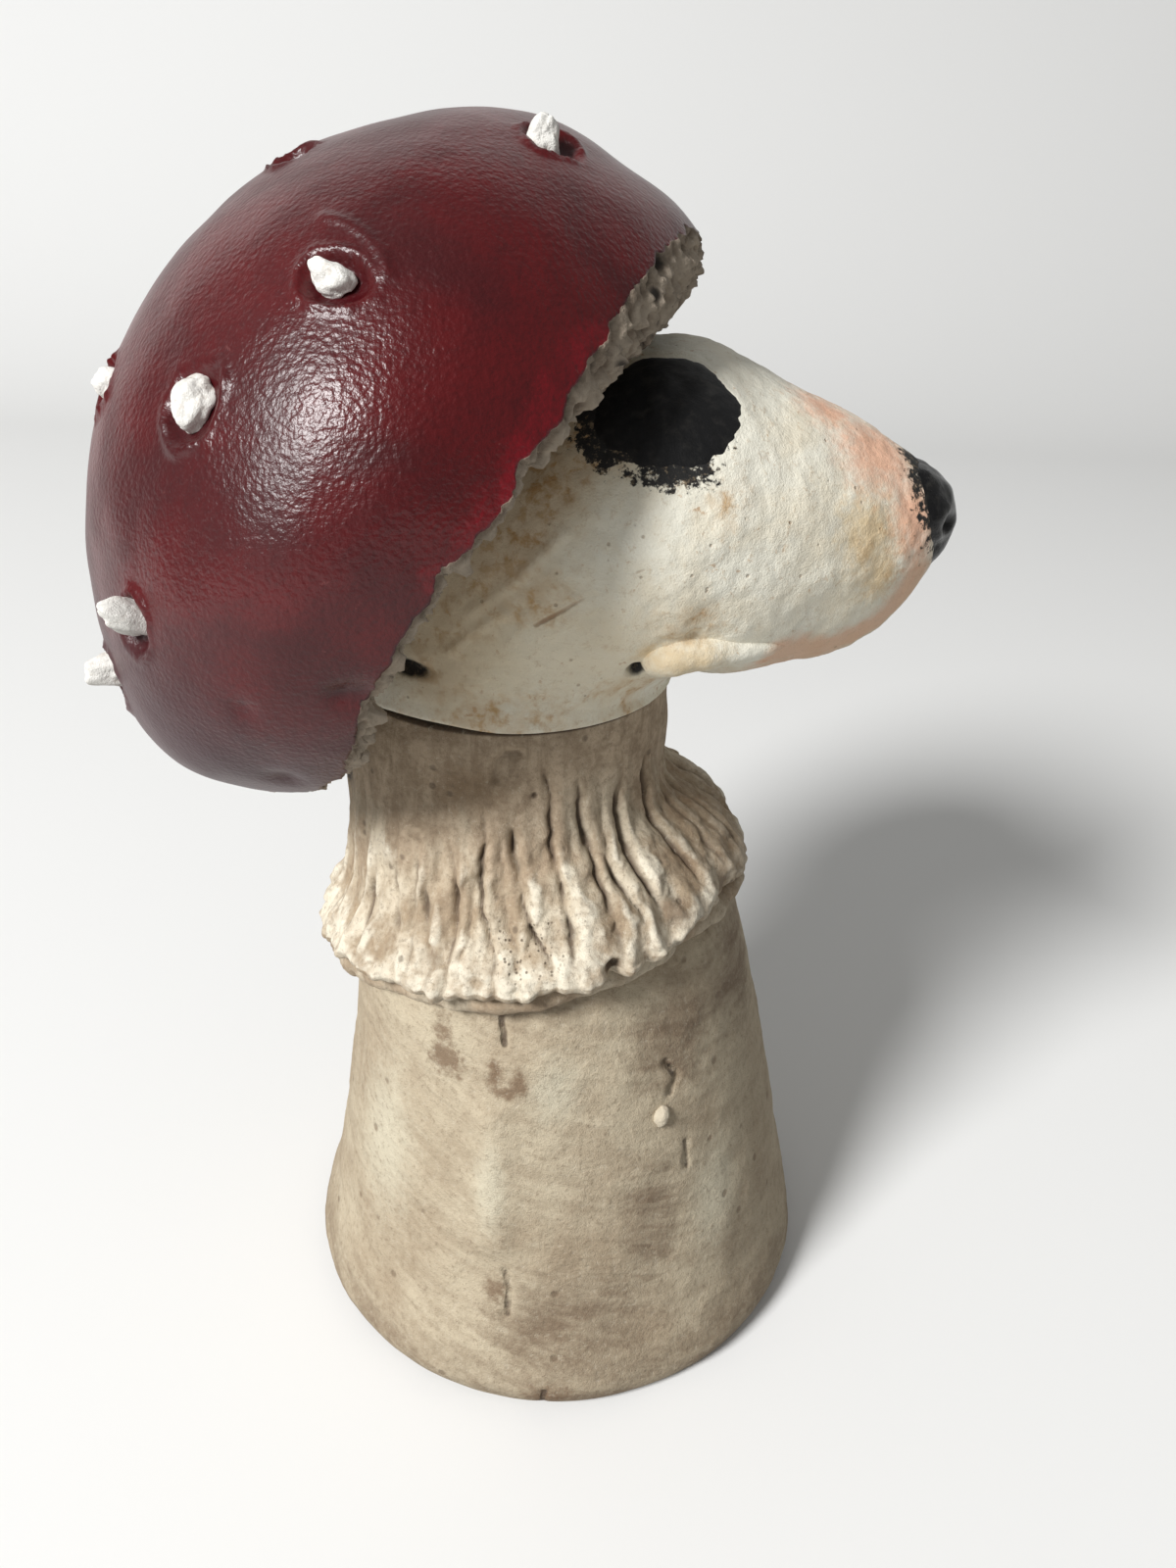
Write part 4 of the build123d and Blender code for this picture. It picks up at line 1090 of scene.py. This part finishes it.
def cap_skin():
    """Rows from the apex down the outside to the glaze's edge, across the torn face to the rim and back up
    the inside. The rim follows a saddle, drawn back where it is far aside, the glaze stops short of it by
    an uneven width, and each wart has a dished seat, an oval about it with a raised and uneven collar.
    Holes and lumps break up the torn face."""
    turn = np.linspace(-np.pi, np.pi, 620, endpoint=False)
    around = round_way(52.0, turn)
    aside = rim_reach * np.sin(turn)
    rim_climb = rim_level + aside**2 / rim_saddle + 0.8 * lumps(around, 12, 82) + 0.6 * lumps(around, 4, 83)
    rim_climb -= 2.2 * hump(np.abs(turn) - 2.05, 0.2)
    rim_climb += 4.8 * ease(np.abs(turn), 2.3, 2.5) - 3.2 * hump(np.abs(turn) - 2.15, 0.5)
    bevel = 2.0 + 4.6 * hump(turn + 0.5, 0.42) + 3.0 * hump(turn - 0.8, 0.4)
    bevel += 3.2 * hump(turn + 0.15, 0.35) + 1.5 * hump(turn + 0.6, 0.35)
    bevel = bevel + 0.9 * lumps(around, 7, 90, 2) + 0.5 * lumps(around, 2.2, 91)
    glaze_slope = np.pi / 2 + np.arcsin(-(rim_climb + np.maximum(bevel, 0.8)) / shoulder_radius)
    rim_slope = np.pi / 2 + np.arcsin(-rim_climb / shoulder_radius)
    share = np.concatenate([np.linspace(0.012, 0.75, 90), np.linspace(0.757, 1, 48)])[:, None]
    slope = share * glaze_slope
    skin, normal = cap_outside(slope, turn + 0 * slope)
    swell = np.zeros_like(slope)
    for wart_slope, wart_turn, wide, tall, _ in wart_places:
        seat, facing = wart_seat(wart_slope, wart_turn)
        across = unit(np.cross(facing, slant))
        offset = skin - seat - seat_shift
        beside = np.cross(facing, across)
        gap = np.hypot(offset @ across / (wide + seat_rim), offset @ beside / (tall + seat_rim))
        gap = np.hypot(gap, offset @ facing / 4.0) * (1 + 0.14 * lumps(skin, 4, 92))
        collar = np.clip(0.42 + 0.6 * lumps(skin, 6, 96), 0.1, 0.9)
        swell += collar * hump(gap - collar_gap, collar_width) - seat_depth * hump(gap, power=6)
    for centre, size, depth in cap_pits:
        swell -= depth * hump(point_gap(skin, centre), size)
    skin = skin + swell[..., None] * normal
    lip_share = np.linspace(0.02, 0.98, 30)[:, None]
    inner_rim, inner_normal = bowl(rim_slope, turn, cap_wall + 0.8 * lumps(around, 15, 86))
    inner_rim = inner_rim + visor(rim_slope, turn)[..., None] * inner_normal
    face = skin[-1] + lip_share[..., None] * (inner_rim - skin[-1])
    outward = unit(np.cross(np.roll(face, -1, axis=1) - np.roll(face, 1, axis=1), inner_rim - skin[-1]))
    outward *= np.sign(-np.sum(outward @ cap_axis))
    bulge = np.sin(np.pi * lip_share)
    tear = bulge * (1.2 + 1.8 * lumps(face, 5, 87, 3))
    tear = tear + (1.2 * lumps(face, 2.2, 88, 3) + 0.7 * lumps(face, 0.9, 93, 2)) * bulge**0.3
    draw = np.random.default_rng(94)
    hole_ranges = ((-np.pi, np.pi), (0.08, 0.7), (0.35, 1.2))
    hole_draws = [draw.uniform(low, high, rim_hole_count) for low, high in hole_ranges]
    for hole_turn, hole_share, hole_size in zip(*hole_draws):
        aim = face[np.argmin(np.abs(lip_share[:, 0] - hole_share)), np.argmin(np.abs(turn - hole_turn))]
        tear -= rim_hole_depth * hole_size * hump(point_gap(face, aim), hole_size, 4)
    face = face + tear[..., None] * outward
    inner_share = np.concatenate([np.linspace(0.985, 0.75, 14), np.linspace(0.72, 0.03, 18)])[:, None]
    inner_slope = inner_share * rim_slope
    inside, inner_normal = bowl(inner_slope, turn + 0 * inner_slope, cap_wall)
    inside = inside + (0.5 * lumps(inside, 6, 89) + visor(inner_slope, turn))[..., None] * inner_normal
    torn = np.vstack([0 * slope, 1 + 0 * face[..., 0], 1 + 0 * inner_slope])
    depth = np.vstack([np.clip(-swell / 1.5, 0, 1), np.clip(0.62 - tear / 2.0, 0, 1), 1 + 0 * inner_slope])
    return np.vstack([skin, face, inside]), torn, depth


red_glaze = Finish("red_glaze", 0.36, (0.084, 0.0028, 0.0042))
red_glaze.surface.inputs["Specular IOR Level"].default_value = 0.42
torn_mark, depth_for_painted_light = red_glaze.mark("torn"), red_glaze.mark("depth")
pool = red_glaze.wash(18.0, 0.5, 0.16)
red_glaze.lay(pool, (0.046, 0.0017, 0.0029))
# A purplish, duller tint on the cap's lower sides: partly a matte film on the glaze and partly a painted
# reflection of the floor.
mauve_film_and_reflection = red_glaze.masks([((-50.0, y, 127.0), (40.0, 28.0, 26.0), 0.9, 0.8) for y in (-36.0, 36.0)])
red_glaze.lay(mauve_film_and_reflection, (0.040, 0.014, 0.0195), 0.75)
near_path = [(0.6, -37.0, 182.8), (-1.6, -41.0, 179.6), (-8.0, -47.0, 169.0), (-15.0, -50.2, 158.5)]
far_path = [(x, -y, z) for x, y, z in near_path]
streaks = red_glaze.masks(cracks=runs(near_path, 5.2, 5.0) + runs(far_path, 5.2, 5.0))
run_noise = red_glaze.wash(3.2, 0.5, 0.2, red_glaze.drawn_out((1.0, 0.35, 0.35)))
streaks = red_glaze.times(streaks, red_glaze.plus(0.25, run_noise))
red_glaze.lay(red_glaze.times(streaks, 0.8, clamp=True), (0.19, 0.0022, 0.0085))
# Painted shade: the glaze is darker in the wart seats and dents, by their depth.
red_glaze.lay(red_glaze.between(depth_for_painted_light, 0.25, 0.9, 0.0, 0.75), (0.045, 0.002, 0.004))
chips = red_glaze.wash(1.7, 0.06, 0.04)
red_glaze.lay(chips, (0.24, 0.07, 0.065), 0.35)
fine_links = {"Vector": red_glaze.place, "Scale": 1.3, "Detail": 3.0, "Roughness": 0.6}
fine = shade(red_glaze.tree, "TexNoise", fine_links).outputs[0]
red_glaze.lay(red_glaze.between(fine, 0.45, 0.7, 0.0, 0.3), (0.026, 0.0012, 0.0022))
crumbs = red_glaze.wash(3.0, 0.5, 0.18)
rim_holes = red_glaze.holes(4.6, 0.22)
# The torn clay is lighter on its raised parts as a painted highlight, and near-black deep in the torn face,
# over the bowl's whole inside and in its holes as painted shade.
bare = (0.385, 0.315, 0.245)
for share, clay_colour in (
    (crumbs, (0.19, 0.145, 0.105)),
    (red_glaze.between(depth_for_painted_light, 0.4, 0.05, 0.0, 0.5), (0.50, 0.425, 0.335)),
    (red_glaze.between(depth_for_painted_light, 0.4, 1.0), (0.035, 0.028, 0.022)),
    (red_glaze.times(rim_holes, 0.92), (0.018, 0.014, 0.012)),
):
    bare = tint(red_glaze.tree, share, bare, clay_colour)
ragged = red_glaze.lifted(red_glaze.less(crumbs, 0.5), torn_mark, 0.35)
bare_share = red_glaze.between(ragged, 0.4, 0.62)
red_glaze.lay(bare_share, bare)
dull = red_glaze.plus(red_glaze.times(chips, 0.1), red_glaze.times(mauve_film_and_reflection, 0.1))
dull = red_glaze.plus(red_glaze.between(pool, 0.0, 1.0, 0.30, 0.36), dull)
red_glaze.feed("Roughness", red_glaze.most(dull, red_glaze.times(bare_share, 0.9)))
peel_links = {"Vector": red_glaze.place, "Scale": 1.35, "Detail": 2.0, "Roughness": 0.5}
peel = shade(red_glaze.tree, "TexNoise", peel_links).outputs[0]
crumb_grain = red_glaze.times(red_glaze.grain(1.6), bare_share)
crumb_grain = red_glaze.less(crumb_grain, red_glaze.times(rim_holes, bare_share))
red_glaze.fire(red_glaze.lifted(crumb_grain, peel, 2.2), 0.48, 0.34)
cap_rows, torn_rows, depth_rows = cap_skin()
clay_piece("cap_bowl", cap_rows, red_glaze, "head", "cap_shell", torn=torn_rows, depth=depth_rows)

# Cap packing: rough clay pushed in between the head and the bowl to bed the cap.
# It is torn and crumbly, and stops short of the rim.
packing_level, packing_half, packing_reach = -5.0, 5.0, 48.0


def packing_skin():
    """A ring of clay between head and bowl: for each turn round the cap's axis its inner edge is the head's
    reach from that axis, its outer edge the bowl's inside, and its front wanders with lumps."""
    turn = np.linspace(-np.pi, np.pi, 320, endpoint=False)
    offset = head_rows[len(bore_rings):].reshape(-1, 3) - cap_centre
    offset = offset[np.abs(offset @ cap_axis - packing_level) < 2.5]
    head_turn = np.arctan2(offset[:, 1], offset @ cap_cross)
    head_reach = np.hypot(offset[:, 1], offset @ cap_cross)
    order = np.argsort(head_turn)
    inner = np.interp(turn, head_turn[order], head_reach[order], period=2 * np.pi) - 1.0
    inner = np.minimum(inner, 44.0)
    spin = np.linspace(0, 2 * np.pi, 40, endpoint=False)[:, None]
    middle, half = (inner + packing_reach) / 2, (packing_reach + 0.4 - inner) / 2
    reach = middle + half * rounded(np.cos(spin), 0.6)
    climb = packing_level + packing_half * rounded(np.sin(spin), 0.6) + 0 * turn
    rows = cap_centre + reach[..., None] * cap_spoke(turn) + climb[..., None] * cap_axis
    return rows - ((1.6 * lumps(rows, 7, 91)) * (np.sin(spin) < -0.2))[..., None] * cap_axis


clay_piece("cap_packing", packing_skin(), inner_clay, "head", "cap_bed", loop=True)

# Warts: pinches of chalky white clay pushed into dished seats in the cap after glazing.
# Each is a lumpy plug of its own, leaning its own way.
wart_draw = np.random.default_rng(95)
wart_leans = {1: (-0.6, 0.0, 0.4), 4: (0.0, 0.0, 0.0), 6: (-1.2, 0.4, 1.8), 7: (-2.0, 0.0, 0.2)}
wart_sink, wart_root = 1.0, 1.6
for number, (wart_slope, wart_turn, wide, tall, rise) in enumerate(wart_places, start=1):
    seat, facing = wart_seat(wart_slope, wart_turn)
    lean = np.array(wart_leans.get(number, wart_draw.uniform(-0.3, 0.3, 3) * rise))
    root = seat - wart_sink * facing
    plug = (root, facing, (wide, tall), rise + wart_sink, wart_root, 100 + number, lean)
    wart_rows = crumb_skin(*plug, rough=0.28, rings=40, spokes=64)
    clay_piece(f"wart_{number:02d}", wart_rows, wart_clay, "head", f"cap_wart_{number:02d}")

# Setting: a white paper sweep, one large soft lamp high on the left in front, and a pale room round it.
# The camera stands where the picture was taken, a little above the head and close to it.


def sweep_sheet():
    """A level floor that curves up into a wall behind: a profile carried straight across."""
    bend = np.linspace(0, np.pi / 2, 24)
    ahead = np.concatenate([[-1.5, -0.5, 0.0, 0.4], 0.75 + 0.5 * np.sin(bend), [1.25]])
    up = np.concatenate([[0, 0, 0, 0], 0.5 - 0.5 * np.cos(bend), [2.2]])
    across = np.linspace(-2.2, 2.2, 23)
    grid = np.stack(np.broadcast_arrays(across, ahead[:, None], up[:, None]), axis=-1)
    index = np.arange(grid.shape[0] * grid.shape[1]).reshape(grid.shape[:2])
    faces = np.stack([index[:-1, :-1], index[:-1, 1:], index[1:, 1:], index[1:, :-1]], axis=-1).reshape(-1, 4)
    return grid.reshape(-1, 3), faces


sheet_points, sheet_faces = sweep_sheet()
sheet_mesh = bpy.data.meshes.new("paper_sweep")
sheet_mesh.from_pydata(sheet_points.tolist(), [], sheet_faces.tolist())
sheet_mesh.polygons.foreach_set("use_smooth", np.ones(len(sheet_mesh.polygons), bool))
paper = Finish("white_paper", 0.9, (0.42, 0.42, 0.41))
rays = shade(paper.tree, "LightPath").outputs
seen = paper.most(rays["Is Camera Ray"], rays["Is Glossy Ray"])
paper.lay(paper.most(seen, rays["Is Transmission Ray"]), (0.84, 0.84, 0.83))
paper.feed("Base Color", paper.colour)
sheet_mesh.materials.append(paper.material)
paper_sweep = bpy.data.objects.new("paper_sweep", sheet_mesh)
bpy.context.scene.collection.objects.link(paper_sweep)

world = bpy.data.worlds.new("pale_room")
bpy.context.scene.world = world
world.use_nodes = True
room = world.node_tree.nodes["Background"].inputs
room["Color"].default_value = (1.0, 1.0, 0.99, 1)
room["Strength"].default_value = 0.27


def stand(holder, right, up, back, place):
    """Puts a lamp or a camera at a place, turned by its three axes, and adds it to the scene."""
    columns = np.column_stack([right, up, back, place])
    holder.matrix_world = Matrix(np.vstack([columns, (0, 0, 0, 1)]).tolist())
    bpy.context.scene.collection.objects.link(holder)


lamp_place, lamp_aim = np.array([-1.38, -1.36, 1.6]), (0.0, 0.0, 0.12)
lamp = bpy.data.lights.new("window_lamp", "AREA")
lamp.shape = "DISK"
lamp.size = 0.72
lamp.energy = 79.0
lamp_back = unit(lamp_place - lamp_aim)
lamp_right = unit(np.cross((0.0, 0.0, 1.0), lamp_back))
lamp_holder = bpy.data.objects.new("window_lamp", lamp)
stand(lamp_holder, lamp_right, np.cross(lamp_back, lamp_right), lamp_back, lamp_place)

focal_pixels, frame_pixels = 1202, 1600
camera_data = bpy.data.cameras.new("camera")
camera_data.sensor_width = 36.0
camera_data.lens = camera_data.sensor_width * focal_pixels / frame_pixels
camera_data.clip_start = 0.01
camera = bpy.data.objects.new("camera", camera_data)
camera_right = (0.99953, -0.00289, 0.03067)
camera_up = (-0.02557, 0.47731, 0.87836)
camera_back = (-0.01718, -0.87873, 0.47701)
camera_place = (0.0, -0.18475, 0.20429)
stand(camera, camera_right, camera_up, camera_back, camera_place)
bpy.context.scene.camera = camera

bpy.context.scene.view_settings.view_transform = "Standard"
